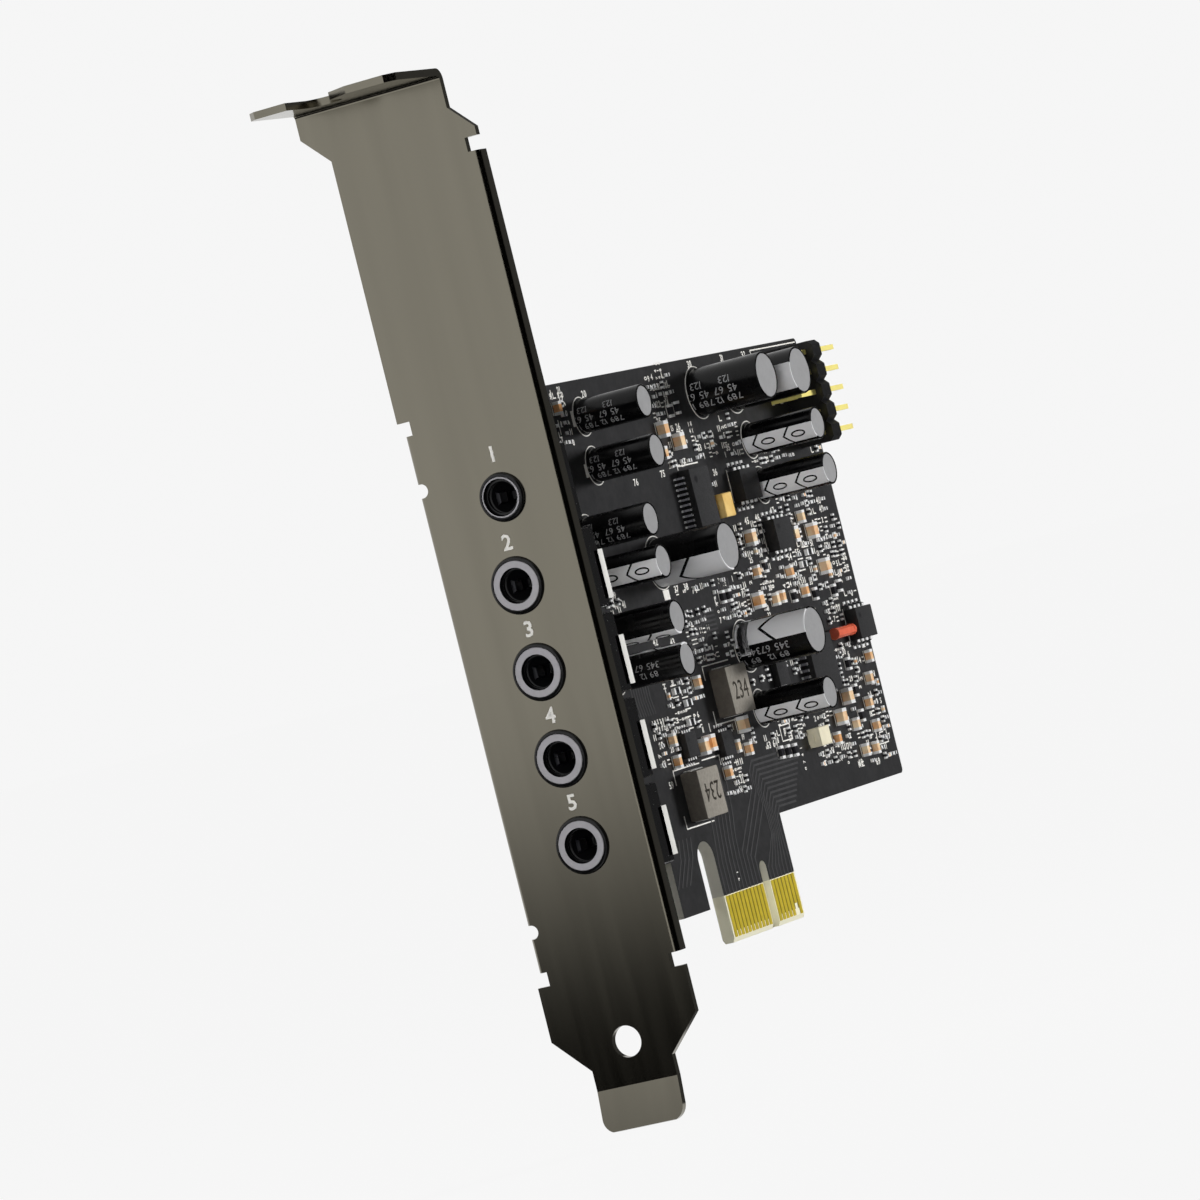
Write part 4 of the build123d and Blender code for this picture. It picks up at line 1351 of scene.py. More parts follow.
@dataclass
class TinyParts:
    """The smallest chip parts and their white marks, in rows over the crowded patches."""

    size: Point = (0.42, 0.32, 0.86)
    end_share: float = 0.3
    step: Flat = (0.98, 1.12)
    jitter: Flat = (0.12, 0.1)
    room: float = 0.22
    part_share: float = 0.42
    pale_share: float = 0.12
    mark_share: float = 0.42
    line: float = 0.16
    number_height: float = 0.72
    seed: int = 23
    digits: Digits = field(default_factory=lambda: Digits(weight=0.03, thickness=0.02))
    patches: tuple[tuple[Flat, Flat], ...] = (
        ((57.8, 76.2), (65.2, 83.8)), ((58.0, 71.2), (65.6, 76.2)), ((66.6, 71.4), (73.6, 75.0)),
        ((67.8, 64.4), (71.2, 70.0)), ((73.6, 69.8), (81.4, 76.8)), ((83.0, 69.2), (103.0, 71.6)),
        ((84.0, 61.8), (97.6, 66.0)), ((97.8, 61.8), (100.4, 64.6)), ((72.2, 56.4), (80.6, 64.2)),
        ((82.0, 52.6), (103.0, 61.6)), ((62.0, 51.8), (82.0, 57.8)), ((52.0, 56.2), (62.4, 58.4)),
        ((52.0, 47.8), (60.6, 54.6)), ((42.6, 43.6), (52.6, 47.4)), ((36.8, 37.2), (50.8, 43.6)),
        ((50.0, 36.8), (64.6, 41.0)), ((52.0, 31.6), (59.4, 36.6)), ((66.0, 43.6), (72.8, 46.2)),
        ((76.6, 43.4), (84.2, 46.0)), ((66.0, 35.6), (80.6, 39.4)), ((80.2, 31.6), (91.6, 38.8)),
        ((90.6, 30.2), (103.0, 47.6)), ((92.0, 48.2), (97.4, 53.0)), ((31.8, 55.8), (38.4, 58.2)),
        ((31.8, 76.2), (36.0, 83.4)), ((99.0, 43.0), (103.0, 53.0)), ((58.6, 47.6), (66.4, 51.0)),
    )

    def build(self) -> None:
        """Lays the parts and the marks out."""
        chance = random.Random(self.seed)
        taken = self._taken()
        dark: list[Spot] = []
        pale: list[Spot] = []
        marks = Draft()
        size = tuple(side * MM for side in self.size)
        across, up = self.jitter
        for low, high in self.patches:
            columns = int((high[0] - low[0]) / self.step[0])
            rows = int((high[1] - low[1]) / self.step[1])
            for column in range(columns):
                for row in range(rows):
                    x = low[0] + (column + 0.5 + chance.uniform(-across, across)) * self.step[0]
                    z = low[1] + (row + 0.5 + chance.uniform(-up, up)) * self.step[1]
                    draw, kind = chance.random(), chance.random()
                    if self._blocked(x, z, taken):
                        continue
                    if draw < self.part_share:
                        spot = place(x, BOARD_Y - self.size[1] / 2, z)
                        turn = math.pi / 2 if kind < 0.5 else 0.0
                        group = pale if kind * 7 % 1 < self.pale_share else dark
                        group.append((spot, size, turn))
                    elif draw < self.part_share + self.mark_share:
                        self._mark(marks, x, z, kind)
            taken.append((Vector((low[0], 0, low[1])), Vector((high[0], 0, high[1]))))
        for name, finish, places in (("tiny_parts_dark", RESISTOR, dark),
                                     ("tiny_parts_pale", CERAMIC, pale)):
            tree = capped_part(f"{name}_tree", finish)
            mesh = tree.lay(places, {"End share": self.end_share}, name)
            add_piece(name, mesh, [])
        add_piece("tiny_marks", marks.mesh("tiny_marks"), [WHITE_INK])

    def _mark(self, draft: Draft, x: float, z: float, kind: float) -> None:
        """One small mark: two bars, an angle or a plain number.

        Args:
            draft: The drawing to add to.
            x: Its middle along X.
            z: Its middle along Z.
            kind: Which mark, from 0 to 1.
        """
        lay = on_board(x, z)
        if kind < 0.3:
            for side in (-0.25, 0.25):
                stroke(draft, [(-0.28, side), (0.28, side)], self.line, lay)
        elif kind < 0.5:
            for side in (-0.25, 0.25):
                stroke(draft, [(side, -0.3), (side, 0.3)], self.line, lay)
        elif kind < 0.6:
            stroke(draft, [(-0.3, 0.3), (-0.3, -0.3), (0.3, -0.3)], self.line, lay)
        else:
            self.digits.write(draft, str(int(kind * 97) % 10), self.number_height, lay,
                              turn=90.0 if kind < 0.8 else 0.0)

    @staticmethod
    def _taken() -> list[Box]:
        """Looks up what already stands on the board.

        Returns:
            The boxes of its solids.
        """
        boxes = []
        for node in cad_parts:
            if not node.startswith(("bracket", "circuit_board", "edge_contacts")):
                boxes += solid_boxes(node)
        return [pair for pair in boxes if pair[0].y < BOARD_Y - 0.1]

    def _blocked(self, x: float, z: float, taken: Sequence[Box]) -> bool:
        """Whether a spot is too near to something.

        Args:
            x: The spot along X.
            z: The spot along Z.
            taken: Boxes to keep clear of.

        Returns:
            True where nothing more fits.
        """
        reach = self.size[2] / 2 + self.room
        return any(low.x - reach < x < high.x + reach and low.z - reach < z < high.z + reach
                   for low, high in taken)


@dataclass
class SocketNumbers:
    """White numbers on the bracket, one above each socket."""

    height: float = 1.8
    rise: float = 5.0
    digits: Digits = field(default_factory=lambda: Digits(weight=0.03, thickness=0.02))

    def build(self) -> None:
        """Prints the numbers."""
        draft = Draft()
        for number in range(1, SOCKET_COUNT + 1):
            low, high = node_box(f"socket_{number}_ring")
            y, z = (low.y + high.y) / 2, (low.z + high.z) / 2
            self.digits.write(draft, str(number), self.height, on_plate(y, z + self.rise))
        add_piece("socket_numbers", draft.mesh("socket_numbers"), [WHITE_INK])


@dataclass
class BoardPrint:
    """White print on the board: part numbers, bars, outlines and corner marks."""

    line: float = 0.16
    number_height: float = 0.85
    first_number: int = 20
    small_height: float = 0.7
    first_small: int = 10
    bar_gap: float = 0.3
    ring_gap: float = 0.32
    table_height: float = 0.55
    table_step: Flat = (0.72, 0.85)
    digits: Digits = field(default_factory=lambda: Digits(weight=0.03, thickness=0.02))
    numbers: tuple[Flat, ...] = (
        (41.0, 82.0), (34.7, 83.0), (34.7, 81.9), (60.1, 79.1), (62.4, 79.0), (59.1, 77.1),
        (63.9, 76.0), (64.4, 75.1), (59.4, 71.7), (62.8, 71.6), (71.3, 83.1), (80.7, 83.1),
        (87.2, 83.0), (68.4, 73.0), (71.6, 72.9), (76.3, 72.3), (71.0, 69.7), (52.6, 57.2),
        (55.3, 57.2), (35.7, 58.3), (35.6, 57.1), (37.7, 57.0), (43.5, 51.8), (48.0, 51.3),
        (56.3, 48.4), (76.4, 63.1), (79.6, 63.2), (84.3, 63.6), (98.3, 63.5), (98.6, 62.4),
        (90.7, 58.7), (93.2, 58.6), (97.5, 57.8), (82.9, 57.9), (86.0, 57.6), (88.5, 57.9),
        (101.9, 55.9), (101.8, 54.5), (99.2, 54.1), (38.4, 35.2), (38.3, 40.0), (37.9, 37.8),
        (43.4, 41.2), (67.0, 36.3), (68.9, 36.3), (71.9, 39.3), (82.7, 33.1), (76.4, 36.4),
        (91.7, 30.9), (96.8, 30.4), (89.6, 33.3), (70.0, 58.4), (66.4, 52.6), (70.6, 54.9),
        (57.3, 56.6), (56.6, 70.9), (48.9, 70.6), (46.3, 62.0),
    )
    # Each bar's X, its lower end and its upper end.
    near_bars: tuple[tuple[float, float, float], ...] = (
        (32.5, 82.1, 83.1), (30.9, 80.1, 81.6), (32.6, 77.9, 79.5), (32.5, 76.1, 77.4),
        (32.5, 66.9, 68.6), (33.3, 66.5, 67.3),
    )
    solid_marks: tuple[tuple[Flat, Flat], ...] = (
        ((36.3, 78.4), (36.9, 80.3)), ((36.4, 72.3), (37.0, 73.9)), ((48.8, 56.2), (50.4, 57.4)),
    )
    outlines: tuple[tuple[Flat, ...], ...] = (
        ((54.2, 45.9), (54.2, 47.5), (61.6, 47.5)), ((54.2, 42.0), (54.2, 40.4), (61.8, 40.4)),
        ((39.7, 35.0), (39.7, 36.7), (47.0, 36.7)), ((39.7, 31.2), (39.7, 29.7), (47.3, 29.7)),
        ((48.0, 36.9), (52.8, 36.9), (52.8, 35.8)), ((61.0, 70.9), (61.0, 71.3), (66.8, 71.3)),
        ((89.3, 82.2), (89.3, 83.3), (102.9, 83.3)), ((74.2, 69.6), (74.2, 65.6)),
        ((80.2, 62.6), (80.2, 58.6)), ((97.4, 49.6), (97.4, 45.4)),
        ((71.2, 36.2), (71.2, 38.1), (74.1, 38.1), (74.1, 36.2), (71.2, 36.2)),
        ((98.2, 32.3), (98.2, 34.2), (101.3, 34.2), (101.3, 32.3), (98.2, 32.3)),
        ((72.2, 36.8), (72.2, 37.6), (73.1, 37.6)), ((99.2, 32.9), (99.2, 33.7), (100.3, 33.7)),
        ((86.9, 50.6), (89.6, 50.6), (89.6, 49.4)), ((81.0, 50.6), (81.0, 49.4)),
        ((66.6, 59.2), (66.6, 60.6), (67.5, 60.6)), ((43.0, 46.7), (43.0, 45.0), (44.4, 45.0)),
        ((52.2, 40.8), (52.2, 39.9)), ((56.5, 35.5), (57.6, 35.5)), ((69.2, 57.3), (70.2, 57.3)),
    )
    # Each block's middle, its rows, its columns and the turn of its numbers in degrees.
    tables: tuple[tuple[float, float, int, int, float], ...] = (
        (39.7, 42.3, 2, 7, 0.0), (45.7, 42.2, 3, 5, 90.0), (62.2, 82.6, 4, 3, 90.0),
        (61.6, 80.9, 1, 8, 90.0), (56.7, 33.4, 4, 4, 90.0), (86.1, 32.8, 3, 2, 90.0),
        (88.2, 32.6, 4, 1, 90.0), (62.4, 54.6, 4, 1, 90.0), (57.0, 59.0, 1, 5, 0.0),
        (47.3, 31.6, 1, 3, 90.0), (75.7, 33.5, 4, 1, 90.0), (73.3, 60.8, 1, 3, 90.0),
        (95.6, 50.7, 2, 4, 90.0), (88.0, 61.6, 1, 4, 0.0), (77.8, 55.2, 1, 6, 90.0),
        (86.6, 54.6, 2, 4, 0.0), (93.0, 44.6, 2, 4, 90.0), (84.4, 69.9, 1, 7, 90.0),
        (67.3, 75.6, 2, 2, 0.0), (49.9, 22.6, 2, 1, 90.0),
    )

    def build(self) -> None:
        """Prints everything on the component side."""
        draft = Draft()
        self._around_parts(draft)
        for index, (x, z) in enumerate(self.numbers, self.first_number):
            self.digits.write(draft, str(index), self.number_height, on_board(x, z))
        for x, z0, z1 in self.near_bars:
            stroke(draft, [(x, z0), (x, z1)], self.line, on_board(0, 0))
        for low, high in self.solid_marks:
            patch(draft, low, high, on_board(0, 0))
        for points in self.outlines:
            stroke(draft, points, self.line, on_board(0, 0))
        for x, z, rows, columns, turn in self.tables:
            self._table(draft, x, z, rows, columns, turn)
        add_piece("board_print", draft.mesh("board_print"), [WHITE_INK])
        self._rings()

    def _table(self, draft: Draft, x: float, z: float, rows: int, columns: int,
               turn: float) -> None:
        """A block of very small numbers.

        Args:
            draft: The drawing to add to.
            x: The block's middle along X.
            z: The block's middle along Z.
            rows: Rows of numbers.
            columns: Numbers in a row.
            turn: How far each number is turned, in degrees.
        """
        for row in range(rows):
            for column in range(columns):
                across = (column - (columns - 1) / 2) * self.table_step[0]
                up = ((rows - 1) / 2 - row) * self.table_step[1]
                sign = str((row * 3 + column * 7 + 1) % 10)
                self.digits.write(draft, sign, self.table_height, on_board(x + across, z + up),
                                  turn=turn)

    def _around_parts(self, draft: Draft) -> None:
        """Bars beside each small part and a number above every second one.

        Args:
            draft: The drawing to add to.
        """
        count, gap = self.first_small, self.bar_gap
        for node in ("ceramic_capacitors", "small_ceramic_capacitors", "resistors"):
            for index, (low, high) in enumerate(solid_boxes(node)):
                if high.z - low.z > high.x - low.x:
                    bars = [[(x, low.z + 0.1), (x, high.z - 0.1)]
                            for x in (low.x - gap, high.x + gap)]
                else:
                    bars = [[(low.x + 0.1, z), (high.x - 0.1, z)]
                            for z in (low.z - gap, high.z + gap)]
                for bar in bars:
                    stroke(draft, bar, self.line, on_board(0, 0))
                if index % 2 == 0:
                    above = on_board(middle_of((low, high))[0], high.z + 0.75)
                    self.digits.write(draft, str(count), self.small_height, above)
                    count += 1

    def _rings(self) -> None:
        """White rings round the capacitors' bases."""
        tree = GeometryTree("base_rings_tree")
        tree.number("Line width", self.line * MM)
        points = tree.node("GeometryNodeMeshToPoints", Mesh=tree.entry.outputs["Geometry"])
        reach = tree.attribute("ring_radius", "FLOAT")
        circle = tree.node("GeometryNodeCurvePrimitiveCircle", Resolution=64, Radius=1.0)
        size = tree.node("ShaderNodeCombineXYZ", X=reach, Y=reach, Z=1.0)
        quarter = tree.node("FunctionNodeInputRotation")
        quarter.rotation_euler = (math.pi / 2, 0, 0)
        spread = tree.node("GeometryNodeInstanceOnPoints", Points=points.outputs["Points"],
                           Instance=circle.outputs["Curve"], Scale=size.outputs[0],
                           Rotation=quarter.outputs[0])
        real = tree.node("GeometryNodeRealizeInstances", Geometry=spread.outputs["Instances"])
        half = tree.math("MULTIPLY", tree.entry.outputs["Line width"], 0.5)
        profile = tree.node("GeometryNodeCurvePrimitiveCircle", Resolution=4, Radius=half)
        tube = tree.node("GeometryNodeCurveToMesh", Curve=real.outputs["Geometry"],
                         Profile_Curve=profile.outputs["Curve"])
        tree.result(tree.material(tube.outputs["Mesh"], WHITE_INK))
        parts = round_parts()
        base = bpy.data.meshes.new("base_ring_points")
        base.from_pydata([place(part.x, BOARD_Y, part.z) for part in parts], [], [])
        radii = base.attributes.new("ring_radius", "FLOAT", "POINT")
        for index, part in enumerate(parts):
            radii.data[index].value = (part.radius + self.ring_gap) * MM
        mesh = tree.apply(base, {"Line width": self.line * MM}, "base_rings")
        add_piece("base_rings", mesh, [])


@dataclass
class Traces:
    """Copper lines under the board's mask, seen as a low relief."""

    width: float = 0.26
    lift: float = 0.03
    pitch: float = 0.62
    start: float = 21.0
    gap_heights: Flat = (16.6, 20.8)
    gap_lift: float = 0.012
    before_key: int = 11
    steep: int = 7

    def build(self) -> None:
        """Draws the lines of both faces."""
        for name, lines, lay in (("front_traces", self._front_lines(), on_board(0, 0)),
                                 ("back_traces", self._back_lines(), on_back)):
            draft = Draft()
            for points in lines:
                stroke(draft, points, self.width, lay, lift=self.lift)
            add_piece(name, draft.mesh(name), [MASK_RELIEF])
        self._gaps()

    def _gaps(self) -> None:
        """The stained laminate between the edge contacts, on both faces."""
        draft = Draft()
        contacts, key = self._contacts(), self.before_key
        bottom, top = self.gap_heights
        for group in (contacts[:key], contacts[key:]):
            for (_, left), (right, _) in zip(group, group[1:]):
                for lay in (on_board(0, 0), on_back):
                    patch(draft, (left.x, bottom), (right.x, top), lay, lift=self.gap_lift)
        add_piece("contact_gaps", draft.mesh("contact_gaps"), [GAP_OLIVE])

    @staticmethod
    def _contacts() -> list[Box]:
        """The boxes of one side's edge contacts, in order along X."""
        return sorted(solid_boxes("edge_contacts_component_side"), key=lambda box: box[0].x)

    def _front_lines(self) -> list[list[Flat]]:
        """The lines that rise from the contacts, and short groups of lines further up.

        The last contacts' lines fan out along the board, and the first ones rise steeply.

        Returns:
            The lines, as (x, z) points.
        """
        lines: list[list[Flat]] = []
        contacts = [middle_of(box)[0] for box in self._contacts()]
        behind_key = len(contacts) - self.before_key
        for index, x in enumerate(reversed(contacts[self.steep:])):
            bend_x, bend_z = 65.6 - index * 0.45, 28.9 + index * self.pitch
            leave = 22.4 if index < behind_key else 21.2 + index * 0.4
            reach = 3.6 if index < behind_key else bend_x - 1.2 - x
            lines.append([(x, self.start), (x, leave), (bend_x - 1.2, leave + reach),
                          (bend_x - 1.2, bend_z - 1.2), (bend_x, bend_z),
                          (bend_x + 5.0 + index * 0.9, bend_z)])
        for index, x in enumerate(reversed(contacts[:self.steep])):
            lean = 0.2 + index * 0.06
            top = 34.6 + index * 0.2
            lines.append([(x, self.start), (x, 24.6), (x + lean, 27.2 + index * 0.1),
                          (x + lean + 0.9 - index * 0.1, 30.4), (x + 1.5 - index * 0.28, top)])
        for index in range(8):
            x = 34.4 + index * 0.66
            lines.append([(x, 43.8), (x - 0.4, 45.4), (x - 0.4, 47.0)])
        for index in range(6):
            x = 64.0 + index * 0.6
            lines.append([(x, 56.8), (x, 53.2), (x + 0.8, 52.2)])
        for index in range(4):
            x = 33.6 + index * 1.1
            lines.append([(x, 23.4), (x + 2.4, 26.4), (x + 3.0, 28.6)])
        for index in range(6):
            z = 50.0 + index * 0.55
            lines.append([(52.4, z), (56.8, z), (57.8, z + 0.9), (61.0, z + 0.9)])
        return lines

    def _back_lines(self) -> list[list[Flat]]:
        """The lines of the solder side: one from each contact, and two groups further up.

        Returns:
            The lines, as (x, z) points.
        """
        lines: list[list[Flat]] = []
        for index, box in enumerate(self._contacts()):
            x, top = middle_of(box)[0], 48.0 - index * 0.9
            lines.append([(x, self.start), (x, 28.2), (x + 1.2, 29.8), (x + 1.2, top),
                          (x + 2.6, top + 1.6), (x + 14.0, top + 1.6)])
        for index in range(9):
            z = 60.0 + index * 0.7
            lines.append([(24.0, z), (45.0, z), (47.5, z + 2.6), (76.0, z + 2.6),
                          (79.0, z + 5.4)])
        for index in range(6):
            z = 74.5 + index * 0.7
            lines.append([(44.0, z), (62.0, z), (63.4, z + 1.2), (88.0, z + 1.2)])
        return lines


@dataclass(frozen=True)
class ChipLayout:
    """One kind of chip: its body, its leads on each side, and the axes that they stand along."""

    size_x: float
    size_z: float
    height: float
    pitch: float
    leads: int
    reach: float
    sides: str


@dataclass
class Chips:
    """Moulded chips with bent leads, bright at the root and foot as a painted highlight and dark
    on the leg as painted shade.
    """

    edge: float = 0.14
    standoff: float = 0.1
    foot_share: float = 0.45
    sheet: float = 0.16
    # A lead's width as a share of the pitch, for a pitch under 1 mm and for a wider one.
    lead_shares: Flat = (0.4, 0.44)
    pit_share: float = 0.16
    layouts: dict[str, ChipLayout] = field(default_factory=lambda: {
        "converter_chip": ChipLayout(5.4, 10.2, 1.6, 0.65, 14, 1.15, "x"),
        "controller_chip": ChipLayout(7.0, 7.0, 1.4, 0.8, 8, 1.0, "xz"),
        "amplifier_chips": ChipLayout(4.9, 3.9, 1.5, 1.27, 4, 1.05, "z"),
        "regulator_chips": ChipLayout(3.0, 3.0, 0.9, 0.65, 4, 0.95, "z"),
    })

    def build(self) -> None:
        """Makes the bodies and the leads of every chip."""
        for node, layout in self.layouts.items():
            draft = Draft()
            places: list[Spot] = []
            for box in solid_boxes(node):
                x, z = middle_of(box)
                self._body(draft, layout, x, z)
                places += self._leads(layout, x, z)
            # The chips' sides get a near-black copy of the resin colour as painted shade.
            side_faces(draft, 2)
            name = f"{node}_bodies"
            add_piece(name, draft.mesh(name), [CHIP_RESIN, CHIP_MARK, CHIP_SIDE_SHADE],
                      [node])
            name = f"{node}_leads"
            mesh = self._lead_tree(name).lay(places, {"Foot share": self.foot_share}, name)
            add_piece(name, mesh, [])

    def _body(self, draft: Draft, layout: ChipLayout, x: float, z: float) -> None:
        """One moulded body with a small pit at its first pin.

        Args:
            draft: The drawing to add to.
            layout: The kind of chip.
            x: The chip's middle along X.
            z: Its middle along Z.
        """
        base = BOARD_Y - self.standoff
        half_x, half_z = layout.size_x / 2, layout.size_z / 2
        draft.block((x - half_x, base - layout.height, z - half_z),
                    (x + half_x, base, z + half_z), edge=self.edge)
        top = base - layout.height
        spot = min(half_x, half_z) * self.pit_share
        axis = along_y(x - half_x + 3.2 * spot, z + half_z - 3.2 * spot)
        draft.lathe([(0, top - 0.004), (spot, top - 0.004), (spot, top + 0.05), (0, top + 0.05)],
                    axis, 20, materials=[1, 1, 1])

    def _leads(self, layout: ChipLayout, x: float, z: float) -> list[Spot]:
        """The places, sizes and turns of one chip's leads.

        Args:
            layout: The kind of chip.
            x: The chip's middle along X.
            z: Its middle along Z.

        Returns:
            One spot for each lead.
        """
        places: list[Spot] = []
        drop = self.standoff + layout.height / 2
        width = layout.pitch * self.lead_shares[0 if layout.pitch < 1.0 else 1]
        scale = (layout.reach * MM, drop * MM, width * MM)
        for side in layout.sides:
            half = layout.size_x / 2 if side == "x" else layout.size_z / 2
            for sign in (-1, 1):
                for index in range(layout.leads):
                    offset = (index - (layout.leads - 1) / 2) * layout.pitch
                    if side == "x":
                        spot = place(x + sign * half, BOARD_Y, z + offset)
                        turn = 0.0 if sign > 0 else math.pi
                    else:
                        spot = place(x + offset, BOARD_Y, z + sign * half)
                        turn = -math.pi / 2 if sign > 0 else math.pi / 2
                    places.append((spot, scale, turn))
        return places

    def _lead_tree(self, name: str) -> PointTree:
        """The tree of one lead: a root and a foot with a painted highlight, and a slanted leg in
        painted shade, 1 long and 1 high.

        Args:
            name: The name of the piece that it makes.

        Returns:
            The tree.
        """
        tree = PointTree(f"{name}_tree")
        tree.number("Foot share", self.foot_share)
        share, sheet = tree.entry.outputs["Foot share"], self.sheet
        foot_size = tree.node("ShaderNodeCombineXYZ", X=share, Y=sheet, Z=1.0)
        foot_at = tree.node("ShaderNodeCombineXYZ", Y=-sheet / 2, Z=0.0,
                            X=tree.math("MULTIPLY_ADD", share, -0.5, 1.0))
        # On one tinned lead, the foot and the root are painted bright as a highlight and the
        # slanted leg dark as shade.
        shapes = [(foot_size.outputs[0], foot_at.outputs[0], 0.0, PALE_TIN_HIGHLIGHT),
                  ((0.42, sheet, 1.0), (0.13, -1.0 + sheet / 2, 0.0), 0.0, PALE_TIN_HIGHLIGHT),
                  ((0.92, sheet, 0.98), (0.46, -0.53, 0.0), math.radians(68), DARK_METAL_AND_LEG_SHADE)]
        parts = tree.node("GeometryNodeJoinGeometry")
        for size, shift, lean, finish in shapes:
            cube = tree.node("GeometryNodeMeshCube", Size=size)
            moved = tree.node("GeometryNodeTransform", Geometry=cube.outputs["Mesh"],
                              Translation=shift, Rotation=(0, 0, lean))
            tree.feed(parts.inputs["Geometry"], tree.material(moved.outputs["Geometry"], finish))
        tree.spread(parts.outputs["Geometry"])
        return tree


@dataclass
class SolderJoints:
    """Solder cones on the board's back, round every lead that comes through."""

    height: float = 0.85
    top_share: float = 0.35
    terminal_radius: float = 0.95
    pin_radius: float = 0.8
    pin_inset: float = 0.32
    lead_radius: float = 0.62

    def build(self) -> None:
        """Makes all cones as one piece."""
        places: list[Spot] = []
        for box in solid_boxes("socket_terminals"):
            places.append(self._spot(*middle_of(box), self.terminal_radius))
        for low, high in solid_boxes("header_pins"):
            z = (low.z + high.z) / 2
            places.append(self._spot(low.x + self.pin_inset, z, self.pin_radius))
        for part in round_parts():
            for side in (-1, 1):
                z = part.z + side * part.lead_gap / 2
                places.append(self._spot(part.x, z, self.lead_radius))
        tree = PointTree("solder_tree")
        tree.number("Top share", self.top_share)
        cone = tree.node("GeometryNodeMeshCone", Vertices=14, Radius_Bottom=1.0, Depth=1.0,
                         Radius_Top=tree.entry.outputs["Top share"])
        moved = tree.node("GeometryNodeTransform", Geometry=cone.outputs["Mesh"],
                          Rotation=(-math.pi / 2, 0, 0))
        tree.spread(tree.material(moved.outputs["Geometry"], TINNED))
        mesh = tree.lay(places, {"Top share": self.top_share}, "solder_joints")
        add_piece("solder_joints", mesh, [])

    def _spot(self, x: float, z: float, radius: float) -> Spot:
        """One joint's place, size and turn."""
        size = (radius * MM, self.height * MM, radius * MM)
        return place(x, BACK_Y - 0.02, z), size, 0.0


@dataclass
class Coils:
    """Two moulded power coils with rounded corners and a number on each."""

    edge: float = 0.4
    inset: float = 0.12
    pad: Point = (3.2, 1.1, 0.5)
    number: str = "234"
    number_height: float = 2.3
    squeeze: float = 0.86
    digits: Digits = field(default_factory=lambda: Digits(weight=0.0, thickness=0.02))

    def build(self) -> None:
        """Makes both coils."""
        half, rise, depth = self.pad[0] / 2, self.pad[1], self.pad[2]
        for number in (1, 2):
            node = f"coil_{number}"
            low, high = node_box(node)
            inset = self.inset
            draft = Draft()
            draft.block((low.x + inset, low.y, low.z + inset),
                        (high.x - inset, BOARD_Y - 0.05, high.z - inset), edge=self.edge)
            # The coil's sides get a darker copy of its body colour as painted shade.
            side_faces(draft, 3)
            x, z = middle_of((low, high))
            for start in (low.z, high.z - depth):
                draft.block((x - half, BOARD_Y - rise, start), (x + half, BOARD_Y, start + depth),
                            edge=0.06, material=2)
            self.digits.write(draft, self.number, self.number_height, self._top(x, low.y, z),
                              material=1, turn=0.0 if number == 1 else 180.0)
            name = f"{node}_moulded"
            add_piece(name, draft.mesh(name), [COIL_BODY, COIL_MARK, TINNED, COIL_SIDE_SHADE],
                      [node])

    def _top(self, x: float, y: float, z: float) -> Lay:
        """A coil's top round (x, z), where signs come out a little narrower."""
        return lambda lift, right, up: Vector((x + right * self.squeeze, y - lift, z + up))


@dataclass(frozen=True)
class BoardFinish:
    """The board: dark mask, bare laminate round the edge contacts, and a paler edge."""

    name: str = "board_finish"
    mask: Colour = (50, 50, 51)
    bare: Colour = (255, 251, 224)
    edge: Colour = (204, 202, 192)
    bare_top: float = 20.9
    bare_left: float = 43.0

    def material(self) -> bpy.types.Material:
        """Builds the board's shader.

        Returns:
            The material.
        """
        finish = Finish(self.name, self.mask, roughness=0.5, specular=0.35, mottle=0.1,
                        mottle_per_m=330, relief_mm=0.004, relief_per_m=1500)
        material = finish.material()
        nodes = NodeTree(material.node_tree)
        base = material.node_tree.nodes["Principled BSDF"].inputs["Base Color"]
        masked = base.links[0].from_socket
        where = nodes.node("ShaderNodeTexCoord")
        split = nodes.node("ShaderNodeSeparateXYZ", Vector=where.outputs["Object"])
        corner = place(self.bare_left, 0, self.bare_top)
        below = nodes.math("LESS_THAN", split.outputs["Z"], corner.z)
        right = nodes.math("GREATER_THAN", split.outputs["X"], corner.x)
        faces = nodes.node("ShaderNodeNewGeometry")
        turned = nodes.node("ShaderNodeSeparateXYZ", Vector=faces.outputs["Normal"])
        rim = nodes.math("LESS_THAN", nodes.math("ABSOLUTE", turned.outputs["Y"]), 0.3)
        colour = self._mix(nodes, rim, masked, self.edge)
        colour = self._mix(nodes, nodes.math("MULTIPLY", below, right), colour, self.bare)
        nodes.feed(base, colour)
        return material

    @staticmethod
    def _mix(nodes: NodeTree, share: Socket, under: Socket, over: Colour) -> Socket:
        """Lays one colour over another.

        Args:
            nodes: The material's nodes.
            share: Where the colour on top shows.
            under: The colour below.
            over: The colour on top.

        Returns:
            The mixed colour.
        """
        mix = nodes.tree.nodes.new("ShaderNodeMix")
        mix.data_type = "RGBA"
        for name, value in (("Factor", share), ("A", under), ("B", linear(*over))):
            nodes.feed(mix.inputs[name], value)
        return mix.outputs["Result"]


